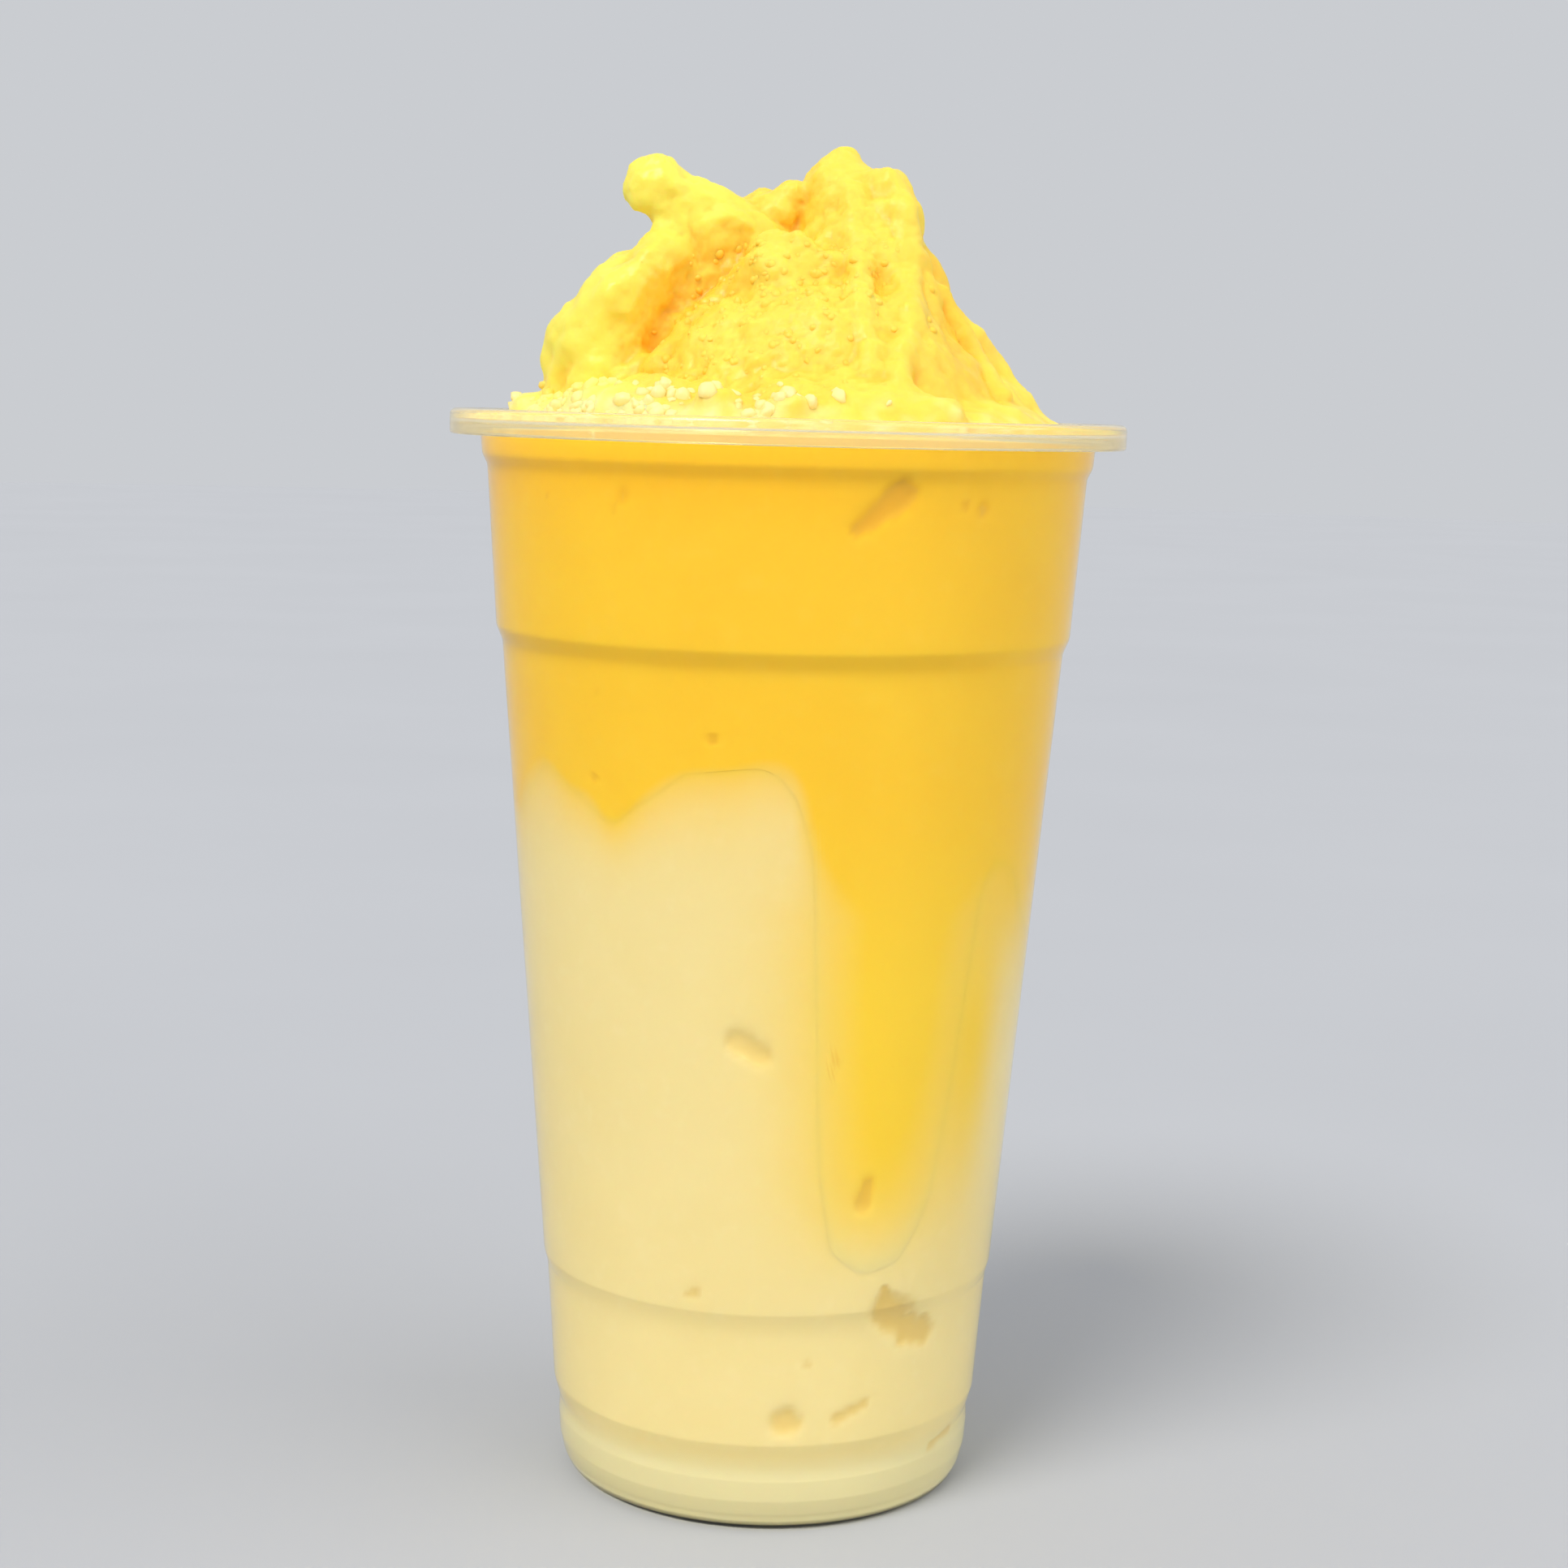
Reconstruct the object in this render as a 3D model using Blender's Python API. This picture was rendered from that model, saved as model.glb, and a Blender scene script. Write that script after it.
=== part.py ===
"""A tall clear plastic cup of layered smoothie: cream below, mango above, heaped over the rim.

Metres, +Z up. The origin is the centre of the foot, on the surface that the cup stands on.
The front of the drink faces -Y. Every round part is turned about Z.
"""

import math
import random

import bmesh
import bpy
from mathutils import Matrix, Vector, noise

MM = 0.001

# The cup, from its flange down to its foot
RIM_HEIGHT = 153.3 * MM
RIM_RADIUS = 47.5 * MM
RIM_DEPTH = 3.5 * MM
RIM_PLATE = 1.3 * MM
SKIRT_WALL = 1.0 * MM
WALL = 0.9 * MM
MOUTH_CHAMFER = 0.5 * MM
FLOOR_THICKNESS = 1.2 * MM
FOOT_RADIUS = 27.6 * MM
FOOT_RING = 3.4 * MM
FOOT_RECESS = 2.4 * MM
FLOOR_RADIUS = 23.4 * MM
GROOVE_INNER = 24.8 * MM
GROOVE_OUTER = 27.4 * MM
FOOT_BULGE_RADIUS = 30.2 * MM
FOOT_BULGE_HEIGHT = 7.6 * MM
FOOT_ROUNDING = 4
CUP_SIDES = 64
SHARP_ANGLE = 30

# Each shoulder of the wall: height and radius at its lower edge, then at its upper edge
SHOULDERS = (
    (9.9 * MM, 30.05 * MM, 13.2 * MM, 31.0 * MM),
    (30.5 * MM, 32.2 * MM, 32.4 * MM, 32.75 * MM),
    (121.1 * MM, 39.85 * MM, 123.3 * MM, 40.75 * MM),
    (145.7 * MM, 42.25 * MM, 147.2 * MM, 43.0 * MM),
)
COLLAR_RADIUS = 43.4 * MM

# The drink, which keeps a small gap to the plastic and between its layers
GAP = 0.3 * MM
DRINK_SIDES = 96
DRINK_LEVEL = 151.6 * MM
LAYER_CORE_HEIGHT = 98 * MM
LAYER_CORE_POWER = 3.0
LAYER_RINGS = (0.88, 0.7, 0.45)
CLIMB_ROWS = 3

# Where the layers meet at the wall: azimuth in degrees, positive to the right of the front, and
# height in millimetres. The low stretch is the mango that has run down the wall.
LAYER_LINE = (
    (-165, 90), (-140, 102), (-118, 99), (-95, 95), (-75, 97), (-63, 102.5), (-56, 106.5),
    (-47, 103.5), (-36, 99.5), (-27, 103.5), (-18, 107.5), (-2, 108.5), (5, 104), (9, 93),
    (10, 66), (12, 48), (16, 40.5), (24, 38), (32, 38.8), (39, 43.5), (44, 52), (46, 74),
    (48, 90), (53, 94.5), (60, 93), (69, 86), (80, 75), (95, 70), (112, 80), (130, 98), (155, 105),
    (178, 97),
)

# The heap, in millimetres from the middle of the rim's plane: centre, radii and turn about Y.
# A positive turn lifts a lobe's left end.
HEAP_LOBES = (
    ("skirt", (0, 0, -2.5), (40, 40, 8), 0),
    ("front dome", (4, -10, -2), (24, 19, 21), 0),
    ("dome crest", (1, -8, 18.5), (8.5, 7, 5.5), 0),
    ("left petal", (-24.2, -2, 13.4), (15, 10, 6.2), -50),
    ("left knuckle", (-28, -3, 8.5), (6.5, 8, 7.2), 0),
    ("left root", (-25, -2, 0), (9, 12, 6), 0),
    ("valley floor", (-14, -1, 5.5), (11, 9, 12.5), 20),
    ("valley head", (-11, 1, 17.5), (8, 6.5, 6.5), 0),
    ("back ridge", (-3, 8, 17), (13, 8, 13.5), 0),
    ("ridge lump", (-3.6, 5, 27.6), (4.4, 4.5, 4.4), 0),
    ("ridge notch lump", (0.4, 5, 28.2), (4.2, 4.5, 4.4), 0),
    ("finger tip", (-19.4, -1, 31), (4.8, 4.8, 4.8), 0),
    ("peak", (6.6, 3, 31.8), (4.7, 4.8, 4.8), 0),
    ("peak tip", (7, 3, 35.6), (2.5, 2.6, 2.9), 0),
    ("peak shoulder", (13.2, 0, 31), (3.6, 4.4, 4.1), 0),
    ("peak ear", (14.2, -1, 27), (4.3, 4.6, 4.6), 0),
    ("back bulge", (3, 20, 4), (24, 18, 14), 0),
    ("back step", (-10, 17, 12), (12, 10, 9), 0),
    ("right foot", (22, 4, 1), (14, 19, 6), 0),
    ("front toe", (6, -27, 0), (16, 9, 5.5), 0),
    ("left toe", (-18, -24, 0), (10, 9, 5), 0),
)

# Ropes of slush between two balls: start, start radius, end and end radius
HEAP_ROPES = (
    ("finger", (-18, -1, 29.6), 4.2, (-6, 1, 23.5), 5.2),
    ("spine", (7, 2, 30), 5.2, (9, -7, 16), 6.0),
    ("spine front", (9, -7, 16), 5.2, (12, -18, 2), 5.6),
    ("flute left", (9.5, -4, 27), 2.7, (14.2, -13.5, 13.5), 2.9),
    ("flute left foot", (14.2, -13.5, 13.5), 2.9, (14.8, -22, 0), 3.2),
    ("flute right", (15, -3.5, 26), 2.8, (19.3, -10.5, 11), 2.7),
    ("flute right foot", (19.3, -10.5, 11), 2.7, (18.5, -17, 3), 2.6),
    ("flute side", (15.5, 3, 24), 2.6, (32, 3, 1.5), 3.2),
    ("flute rear", (12, 8, 26), 3.6, (24, 22, 2), 4.0),
    ("back rope", (0, 10, 27), 4.0, (-4, 27, 6), 4.5),
    ("back coil", (-12, 9, 22), 4.2, (-26, 18, 4), 4.5),
)
SLOPE_CENTRE = (9, 3)
SLOPE_BASE_RADIUS = 24.5
SLOPE_TOP_RADIUS = 6
SLOPE_HEIGHT = 28
SLOPE_SIDES = 48
ROPE_BALLS = 9
LOBE_FINENESS = 3

# Crumbs of frozen slush along the rim, but none where the long slope reaches it
CRUMBS = 30
CRUMB_RING = 35.5
CRUMB_SPREAD = 2.6
CRUMB_RADII = (1.8, 3.4)
CRUMB_LEVELS = (-0.6, 1.6)
CRUMB_FLATNESS = (1, 0.85, 0.8)
CRUMB_TURN = 30
CRUMB_STRAY = 0.35
CRUMB_SEED = 11
CRUMB_CLEAR = (52, 128)

HEAP_VOXEL = 1.25 * MM
HEAP_SMOOTHING = 3
LUMP_SCALE = 0.16
LUMP_RELIEF = 0.9
LUMP_OCTAVES = 2
GRIT_SCALE = 0.45
GRIT_RELIEF = 0.35
CALM_BELOW = -2 * MM
ROUGH_ABOVE = 2 * MM
HEAP_KEEP = 0.15

# Air pockets against the wall: azimuth in degrees, height, length, width and tilt in degrees
POCKETS = (
    ("mango", 16.8, 141.8, 9.6, 3.4, 39),
    ("mango", -30.4, 143.0, 1.8, 1.5, 0),
    ("mango", 38.1, 142.2, 2.0, 1.9, 0),
    ("cream", -5.2, 70.3, 7.0, 3.6, -26),
    ("mango", 22.9, 49.6, 5.4, 2.4, 76),
    ("cream", 37.6, 29.9, 10.0, 4.4, -32),
    ("cream", 5.7, 16.7, 4.3, 3.8, -15),
    ("cream", 23.2, 17.7, 6.2, 1.7, 24),
)
POCKET_DEPTH = 0.8 * MM
POCKET_SIDES = 10
POCKET_RINGS = 6


def clear_scene():
    for item in list(bpy.data.objects):
        bpy.data.objects.remove(item)


def material(name, colour, roughness, transmission=0.0):
    made = bpy.data.materials.new(name)
    made.use_nodes = True
    shader = made.node_tree.nodes["Principled BSDF"]
    shader.inputs["Base Color"].default_value = (*colour, 1)
    shader.inputs["Roughness"].default_value = roughness
    shader.inputs["Metallic"].default_value = 0
    shader.inputs["Transmission Weight"].default_value = transmission
    return made


def add_object(name, mesh, finish=None):
    """Links a mesh to the scene as an object, with its material where it has one."""
    made = bpy.data.objects.new(name, mesh)
    bpy.context.scene.collection.objects.link(made)
    if finish:
        mesh.materials.append(finish)
    return made


def mesh_from(bm, name):
    bmesh.ops.recalc_face_normals(bm, faces=bm.faces)
    mesh = bpy.data.meshes.new(name)
    bm.to_mesh(mesh)
    bm.free()
    return mesh


def apply_modifiers(thing):
    """Replaces an object's mesh by the one its modifiers make."""
    evaluated = thing.evaluated_get(bpy.context.evaluated_depsgraph_get())
    mesh = bpy.data.meshes.new_from_object(evaluated)
    thing.modifiers.clear()
    thing.data = mesh


def outer_wall():
    """The wall's outer line as (radius, height), from the foot up to the flange."""
    line = []
    for step in range(FOOT_ROUNDING + 1):
        turn = 0.5 * math.pi * step / FOOT_ROUNDING
        radius = FOOT_RADIUS + (FOOT_BULGE_RADIUS - FOOT_RADIUS) * math.sin(turn)
        line.append((radius, FOOT_BULGE_HEIGHT * (1 - math.cos(turn))))
    for low, low_radius, high, high_radius in SHOULDERS:
        line += [(low_radius, low), (high_radius, high)]
    line.append((COLLAR_RADIUS, RIM_HEIGHT - RIM_PLATE))
    return line


def wall_radius(height):
    """The outer radius of the wall at a height."""
    line = outer_wall()
    if height <= line[0][1]:
        return line[0][0]
    for (r0, z0), (r1, z1) in zip(line, line[1:]):
        if height <= z1:
            return r0 + (r1 - r0) * (height - z0) / (z1 - z0)
    return line[-1][0]


def foot_line():
    """The heights of the rounded foot at which the inside follows it."""
    return [z for _, z in outer_wall() if 2 * WALL < z <= FOOT_BULGE_HEIGHT]


def cup_outline():
    """The closed section of the cup, from the middle of its underside round to its floor.

    The middle of the floor is raised, and a groove runs round it inside the ring that stands.
    """
    inner_foot = FOOT_RADIUS - FOOT_RING
    floor = FOOT_RECESS + FLOOR_THICKNESS
    rim_bottom = RIM_HEIGHT - RIM_DEPTH
    plate_bottom = RIM_HEIGHT - RIM_PLATE
    skirt_inner = RIM_RADIUS - SKIRT_WALL
    mouth = COLLAR_RADIUS - WALL
    below = [(0, FOOT_RECESS), (inner_foot - FOOT_RECESS / 2, FOOT_RECESS), (inner_foot, 0)]
    flange = [
        (skirt_inner, plate_bottom),
        (skirt_inner, rim_bottom),
        (RIM_RADIUS, rim_bottom),
        (RIM_RADIUS, RIM_HEIGHT - MOUTH_CHAMFER),
        (RIM_RADIUS - MOUTH_CHAMFER, RIM_HEIGHT),
        (mouth + MOUTH_CHAMFER, RIM_HEIGHT),
        (mouth, RIM_HEIGHT - MOUTH_CHAMFER),
    ]
    wall = outer_wall()
    inside = [(r - WALL, z) for r, z in reversed(wall[:-1]) if z > 2 * WALL]
    groove = [(GROOVE_OUTER, WALL), (GROOVE_INNER, WALL), (FLOOR_RADIUS, floor), (0, floor)]
    return below + wall + flange + inside + groove


def build_cup(finish):
    bm = bmesh.new()
    line = [bm.verts.new((radius, 0, height)) for radius, height in cup_outline()]
    edges = [bm.edges.new(pair) for pair in zip(line, line[1:])]
    bmesh.ops.spin(
        bm, geom=line + edges, axis=(0, 0, 1), cent=(0, 0, 0), dvec=(0, 0, 0),
        angle=2 * math.pi, steps=CUP_SIDES, use_merge=True,
    )
    bmesh.ops.remove_doubles(bm, verts=bm.verts, dist=0.01 * MM)
    cup = add_object("cup", mesh_from(bm, "cup"), finish)
    cup.data.shade_smooth()
    cup.data.set_sharp_from_angle(angle=math.radians(SHARP_ANGLE))


def layer_height(azimuth):
    """The height at the wall where the layers meet, smooth between the points of LAYER_LINE."""
    turn = (azimuth + 180) % 360 - 180
    line = [(LAYER_LINE[-1][0] - 360, LAYER_LINE[-1][1])] + list(LAYER_LINE)
    line.append((LAYER_LINE[0][0] + 360, LAYER_LINE[0][1]))
    for (a0, z0), (a1, z1) in zip(line, line[1:]):
        if a0 <= turn <= a1:
            share = (turn - a0) / (a1 - a0)
            return (z0 + (z1 - z0) * share * share * (3 - 2 * share)) * MM
    return LAYER_CORE_HEIGHT


def wall_point(azimuth, height, inset=WALL + GAP):
    """A point of the drink's side, at an azimuth in degrees and a height."""
    turn = math.radians(azimuth)
    radius = wall_radius(height) - inset
    return Vector((radius * math.sin(turn), -radius * math.cos(turn), height))


def ring_of(radius, height):
    """A level ring of the drink, with one point for each of its sides."""
    turns = [math.radians(a) for a in azimuths()]
    return [Vector((radius * math.sin(t), -radius * math.cos(t), height)) for t in turns]


def layer_point(azimuth, share, drop):
    """A point of the surface between the layers, at a share of the way out to the wall."""
    at_wall = layer_height(azimuth) - drop
    core = LAYER_CORE_HEIGHT - drop
    point = wall_point(azimuth, at_wall) * share
    point.z = core + (at_wall - core) * share**LAYER_CORE_POWER
    return point


def azimuths():
    return [360 * side / DRINK_SIDES for side in range(DRINK_SIDES)]


def skin(rings, low_pole, high_pole, name):
    """A closed mesh over rings of points that lie above each other, with a pole at either end."""
    bm = bmesh.new()
    rows = [[bm.verts.new(point) for point in ring] for ring in rings]
    poles = bm.verts.new(low_pole), bm.verts.new(high_pole)
    count = len(rows[0])
    for side in range(count):
        after = (side + 1) % count
        bm.faces.new((poles[0], rows[0][after], rows[0][side]))
        bm.faces.new((poles[1], rows[-1][side], rows[-1][after]))
        for low, high in zip(rows, rows[1:]):
            bm.faces.new((low[side], low[after], high[after], high[side]))
    bmesh.ops.triangulate(bm, faces=bm.faces)
    return mesh_from(bm, name)


def build_cream(finish):
    """The pale lower layer, from the floor and its groove up to the layer line."""
    floor = FOOT_RECESS + FLOOR_THICKNESS + GAP
    heights = foot_line() + [z for low, _, high, _ in SHOULDERS[:2] for z in (low, high)]
    turns = azimuths()
    rings = [ring_of(FLOOR_RADIUS + GAP / 2, floor)]
    rings += [ring_of(radius, WALL + GAP) for radius in (GROOVE_INNER + GAP, GROOVE_OUTER - GAP)]
    rings += [[wall_point(a, z) for a in turns] for z in heights]
    base = heights[-1]
    for row in range(1, CLIMB_ROWS + 1):
        share = row / CLIMB_ROWS
        ring = [base + (layer_height(a) - GAP - base) * share for a in turns]
        rings.append([wall_point(a, z) for a, z in zip(turns, ring)])
    for share in LAYER_RINGS:
        rings.append([layer_point(a, share, GAP) for a in turns])
    mesh = skin(rings, (0, 0, floor), (0, 0, LAYER_CORE_HEIGHT - GAP), "cream_layer")
    return add_object("cream_layer", mesh, finish)


def build_mango_body():
    """The mango inside the cup, from the layer line up to the drink's level."""
    heights = [z for low, _, high, _ in SHOULDERS[2:] for z in (low, high)] + [DRINK_LEVEL]
    turns = azimuths()
    rings = [[layer_point(a, share, 0) for a in turns] for share in reversed(LAYER_RINGS)]
    for row in range(CLIMB_ROWS):
        share = row / CLIMB_ROWS
        ring = [layer_height(a) + (heights[0] - layer_height(a)) * share for a in turns]
        rings.append([wall_point(a, z) for a, z in zip(turns, ring)])
    rings += [[wall_point(a, z) for a in turns] for z in heights]
    mesh = skin(rings, (0, 0, LAYER_CORE_HEIGHT), (0, 0, DRINK_LEVEL), "mango_body")
    return add_object("mango_body", mesh)


def heap_place(centre):
    """A point given in millimetres from the middle of the rim's plane."""
    return Vector(centre) * MM + Vector((0, 0, RIM_HEIGHT))


def add_lobe(bm, centre, radii, turn=0.0):
    size = Matrix.Diagonal((*[radius * MM for radius in radii], 1))
    turned = Matrix.Rotation(math.radians(turn), 4, "Y")
    place = Matrix.Translation(heap_place(centre))
    whole = place @ turned @ size
    bmesh.ops.create_icosphere(bm, subdivisions=LOBE_FINENESS, radius=1, matrix=whole)


def add_rope(bm, start, start_radius, end, end_radius):
    """A row of balls so close that they fuse to a tapered rope."""
    for ball in range(ROPE_BALLS):
        share = ball / (ROPE_BALLS - 1)
        centre = Vector(start).lerp(Vector(end), share)
        radius = start_radius + (end_radius - start_radius) * share
        add_lobe(bm, centre, (radius,) * 3)


def add_slope(bm):
    """The long slope that the right side of the heap runs down."""
    middle = heap_place((*SLOPE_CENTRE, SLOPE_HEIGHT / 2))
    bmesh.ops.create_cone(
        bm, cap_ends=True, segments=SLOPE_SIDES, radius1=SLOPE_BASE_RADIUS * MM,
        radius2=SLOPE_TOP_RADIUS * MM, depth=SLOPE_HEIGHT * MM, matrix=Matrix.Translation(middle),
    )


def add_crumbs(bm):
    draw = random.Random(CRUMB_SEED)
    for crumb in range(CRUMBS):
        turn = 2 * math.pi * (crumb + draw.uniform(-CRUMB_STRAY, CRUMB_STRAY)) / CRUMBS
        ring = CRUMB_RING + draw.uniform(-CRUMB_SPREAD, CRUMB_SPREAD)
        radius = draw.uniform(*CRUMB_RADII)
        centre = (ring * math.sin(turn), -ring * math.cos(turn), draw.uniform(*CRUMB_LEVELS))
        radii = [radius * share for share in CRUMB_FLATNESS]
        tilt = draw.uniform(-CRUMB_TURN, CRUMB_TURN)
        if not CRUMB_CLEAR[0] < math.degrees(turn) < CRUMB_CLEAR[1]:
            add_lobe(bm, centre, radii, tilt)


def roughen(mesh):
    """Pushes the heap's points out and in by two sizes of noise, which fade out under the rim."""
    moves = []
    for vertex in mesh.vertices:
        at = vertex.co / MM
        lumps = noise.fractal(at * LUMP_SCALE, 1.0, 2.0, LUMP_OCTAVES) * LUMP_RELIEF
        grit = noise.noise(at * GRIT_SCALE) * GRIT_RELIEF
        height = vertex.co.z - RIM_HEIGHT
        fade = min(1.0, max(0.0, (height - CALM_BELOW) / (ROUGH_ABOVE - CALM_BELOW)))
        moves.append(vertex.normal * (lumps + grit) * fade * MM)
    for vertex, move in zip(mesh.vertices, moves):
        vertex.co += move


def build_heap():
    """The heap above the rim: lobes, ropes and crumbs fused, smoothed and roughened."""
    bm = bmesh.new()
    for _, centre, radii, turn in HEAP_LOBES:
        add_lobe(bm, centre, radii, turn)
    for _, start, start_radius, end, end_radius in HEAP_ROPES:
        add_rope(bm, start, start_radius, end, end_radius)
    add_slope(bm)
    add_crumbs(bm)
    heap = add_object("heap", mesh_from(bm, "heap"))
    fuse = heap.modifiers.new("fuse", "REMESH")
    fuse.mode = "VOXEL"
    fuse.voxel_size = HEAP_VOXEL
    soften = heap.modifiers.new("soften", "SMOOTH")
    soften.factor = 0.5
    soften.iterations = HEAP_SMOOTHING
    apply_modifiers(heap)
    roughen(heap.data)
    thin = heap.modifiers.new("thin", "DECIMATE")
    thin.ratio = HEAP_KEEP
    apply_modifiers(heap)
    return heap


def pocket_cutters(layer):
    """Flat ellipsoids that bite shallow pockets out of a layer's side."""
    group = bpy.data.collections.new(layer + " pockets")
    bpy.context.scene.collection.children.link(group)
    for kind, azimuth, height, length, width, tilt in POCKETS:
        if kind != layer:
            continue
        middle = wall_point(azimuth, height * MM)
        facing = Matrix.Rotation(math.radians(azimuth), 4, "Z")
        tilted = Matrix.Rotation(math.radians(-tilt), 4, "Y")
        size = Matrix.Diagonal((length * MM / 2, POCKET_DEPTH, width * MM / 2, 1))
        bm = bmesh.new()
        place = Matrix.Translation(middle) @ facing @ tilted @ size
        bmesh.ops.create_uvsphere(
            bm, u_segments=POCKET_SIDES, v_segments=POCKET_RINGS, radius=1, matrix=place,
        )
        cutter = bpy.data.objects.new(f"{layer} pocket", mesh_from(bm, "pocket"))
        group.objects.link(cutter)
    return group


def combine(target, group, operation):
    """Joins a collection to an object, or cuts it out, and removes the collection's objects."""
    mix = target.modifiers.new(operation.lower(), "BOOLEAN")
    mix.operation = operation
    mix.operand_type = "COLLECTION"
    mix.collection = group
    mix.solver = "EXACT"
    apply_modifiers(target)
    for item in list(group.objects):
        bpy.data.objects.remove(item)
    bpy.data.collections.remove(group)


def build_mango(finish):
    """The mango layer and the heap that stands on it, as the one body of slush that they are."""
    body = build_mango_body()
    heap = build_heap()
    group = bpy.data.collections.new("heap")
    bpy.context.scene.collection.children.link(group)
    bpy.context.scene.collection.objects.unlink(heap)
    group.objects.link(heap)
    combine(body, group, "UNION")
    combine(body, pocket_cutters("mango"), "DIFFERENCE")
    body.name = "mango_slush"
    body.data.name = "mango_slush"
    body.data.materials.clear()
    body.data.materials.append(finish)


def main():
    clear_scene()
    plastic = material("clear_plastic", (0.93, 0.93, 0.88), 0.2, transmission=1.0)
    cream = material("cream_smoothie", (0.88, 0.72, 0.34), 0.55)
    mango = material("mango_slush", (0.96, 0.58, 0.05), 0.5)
    build_cup(plastic)
    combine(build_cream(cream), pocket_cutters("cream"), "DIFFERENCE")
    build_mango(mango)


main()
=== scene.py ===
# %% [markdown]
# # A cup of layered fruit smoothie
#
# The real thing is a tall, clear, thin plastic cup. It holds a pale cream layer below and a mango
# slush above, which is heaped over the rim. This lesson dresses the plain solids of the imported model
# in their real looks. It goes from the camera to the cup, the drink behind its wall, the heap, the
# loose grains and crumbs, and last the floor and the lights. Everything is in metres, with +Z up and
# the front of the drink facing -Y.

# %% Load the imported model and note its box
import math

import bmesh
import bpy
import numpy as np
from mathutils import Matrix, Vector, noise


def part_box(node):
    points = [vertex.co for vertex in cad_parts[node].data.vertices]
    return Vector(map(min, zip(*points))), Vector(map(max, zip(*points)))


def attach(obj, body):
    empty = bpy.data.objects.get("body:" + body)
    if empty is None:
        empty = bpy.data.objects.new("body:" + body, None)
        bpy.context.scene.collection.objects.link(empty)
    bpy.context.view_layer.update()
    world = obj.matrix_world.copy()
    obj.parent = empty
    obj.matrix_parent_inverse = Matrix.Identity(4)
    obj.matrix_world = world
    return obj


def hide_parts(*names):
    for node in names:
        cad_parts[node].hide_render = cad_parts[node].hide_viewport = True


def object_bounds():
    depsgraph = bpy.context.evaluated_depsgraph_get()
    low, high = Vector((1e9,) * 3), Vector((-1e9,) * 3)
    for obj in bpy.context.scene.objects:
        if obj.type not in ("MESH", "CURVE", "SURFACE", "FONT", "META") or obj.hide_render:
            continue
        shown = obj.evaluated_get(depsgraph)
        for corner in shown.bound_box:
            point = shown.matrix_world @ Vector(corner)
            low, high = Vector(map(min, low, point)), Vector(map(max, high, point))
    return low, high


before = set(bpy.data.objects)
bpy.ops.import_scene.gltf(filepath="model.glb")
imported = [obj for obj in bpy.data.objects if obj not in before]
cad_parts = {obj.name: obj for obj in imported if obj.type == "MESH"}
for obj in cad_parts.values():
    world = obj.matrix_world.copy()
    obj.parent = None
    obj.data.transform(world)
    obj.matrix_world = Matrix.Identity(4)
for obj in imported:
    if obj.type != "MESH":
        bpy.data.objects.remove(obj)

MM = 0.001
CAD_BOX = [list(corner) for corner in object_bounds()]
RIM_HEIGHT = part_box("cup")[1][2]
scene = bpy.context.scene
print("solids:", sorted(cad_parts), "rim at", round(RIM_HEIGHT / MM, 1), "mm")

# %% [markdown]
# ## The camera
#
# The camera comes first, because every later choice is compared with the photograph. It could be
# placed by eye, but a cup is a round thing, and its rim and foot are ellipses whose flatness gives
# the camera's height exactly. So the pose below was worked out from those two ellipses. The lens is
# given as a focal length in pixels of the photograph, and is turned into millimetres.

# %% Place the camera where the photograph was taken
PHOTO_SIDE = 1932
FOCAL_PIXELS = 3300
SENSOR = 36.0
CAMERA_DISTANCE = 0.3819
CAMERA_HEIGHT = 0.15525
CAMERA_PAN = math.radians(0.1076)
CAMERA_PITCH = math.radians(8.1099)
CAMERA_ROLL = math.radians(1.5332)


def place_camera():
    lens = bpy.data.cameras.new("camera")
    lens.lens = FOCAL_PIXELS / PHOTO_SIDE * SENSOR
    lens.sensor_width = SENSOR
    lens.clip_start = 0.01
    camera = bpy.data.objects.new("camera", lens)
    scene.collection.objects.link(camera)
    stand = Matrix.Translation((0, -CAMERA_DISTANCE, CAMERA_HEIGHT))
    pan = Matrix.Rotation(-CAMERA_PAN, 4, "Z")
    pitch = Matrix.Rotation(math.pi / 2 - CAMERA_PITCH, 4, "X")
    roll = Matrix.Rotation(CAMERA_ROLL, 4, "Z")
    camera.matrix_world = stand @ pan @ pitch @ roll
    scene.camera = camera
    return camera


camera = place_camera()
print("lens", round(camera.data.lens, 1), "mm")

# %% [markdown]
# ## Small helpers
#
# Some things are done again and again: making a mesh object from points and faces, writing numbers
# on its points, running an object's modifiers into a plain mesh, and putting a finished piece in the
# place of its solid. Each gets one short function, so that the later cells only speak about the drink.

# %% Helpers for meshes
SAME_PLACE = 0.002 * MM


def add_piece(name, mesh, material=None):
    piece = bpy.data.objects.new(name, mesh)
    scene.collection.objects.link(piece)
    if material:
        mesh.materials.append(material)
    return piece


def mesh_of(name, points, faces):
    mesh = bpy.data.meshes.new(name)
    mesh.from_pydata([tuple(point) for point in points], [], faces)
    mesh.validate()
    mesh.update()
    return mesh


def mesh_from(name, bm):
    """Turns a bmesh into a mesh, and lets the bmesh go."""
    mesh = bpy.data.meshes.new(name)
    bm.to_mesh(mesh)
    bm.free()
    return mesh


def write_marks(mesh, marks):
    """Gives each point of a mesh some numbers, which shaders and trees read by their names."""
    for name, values in marks.items():
        made = mesh.attributes.new(name, "FLOAT", "POINT")
        made.data.foreach_set("value", values.astype(np.float32))
        print(f"{mesh.name}: {name}, mean {values.mean():.3f}")


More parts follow.
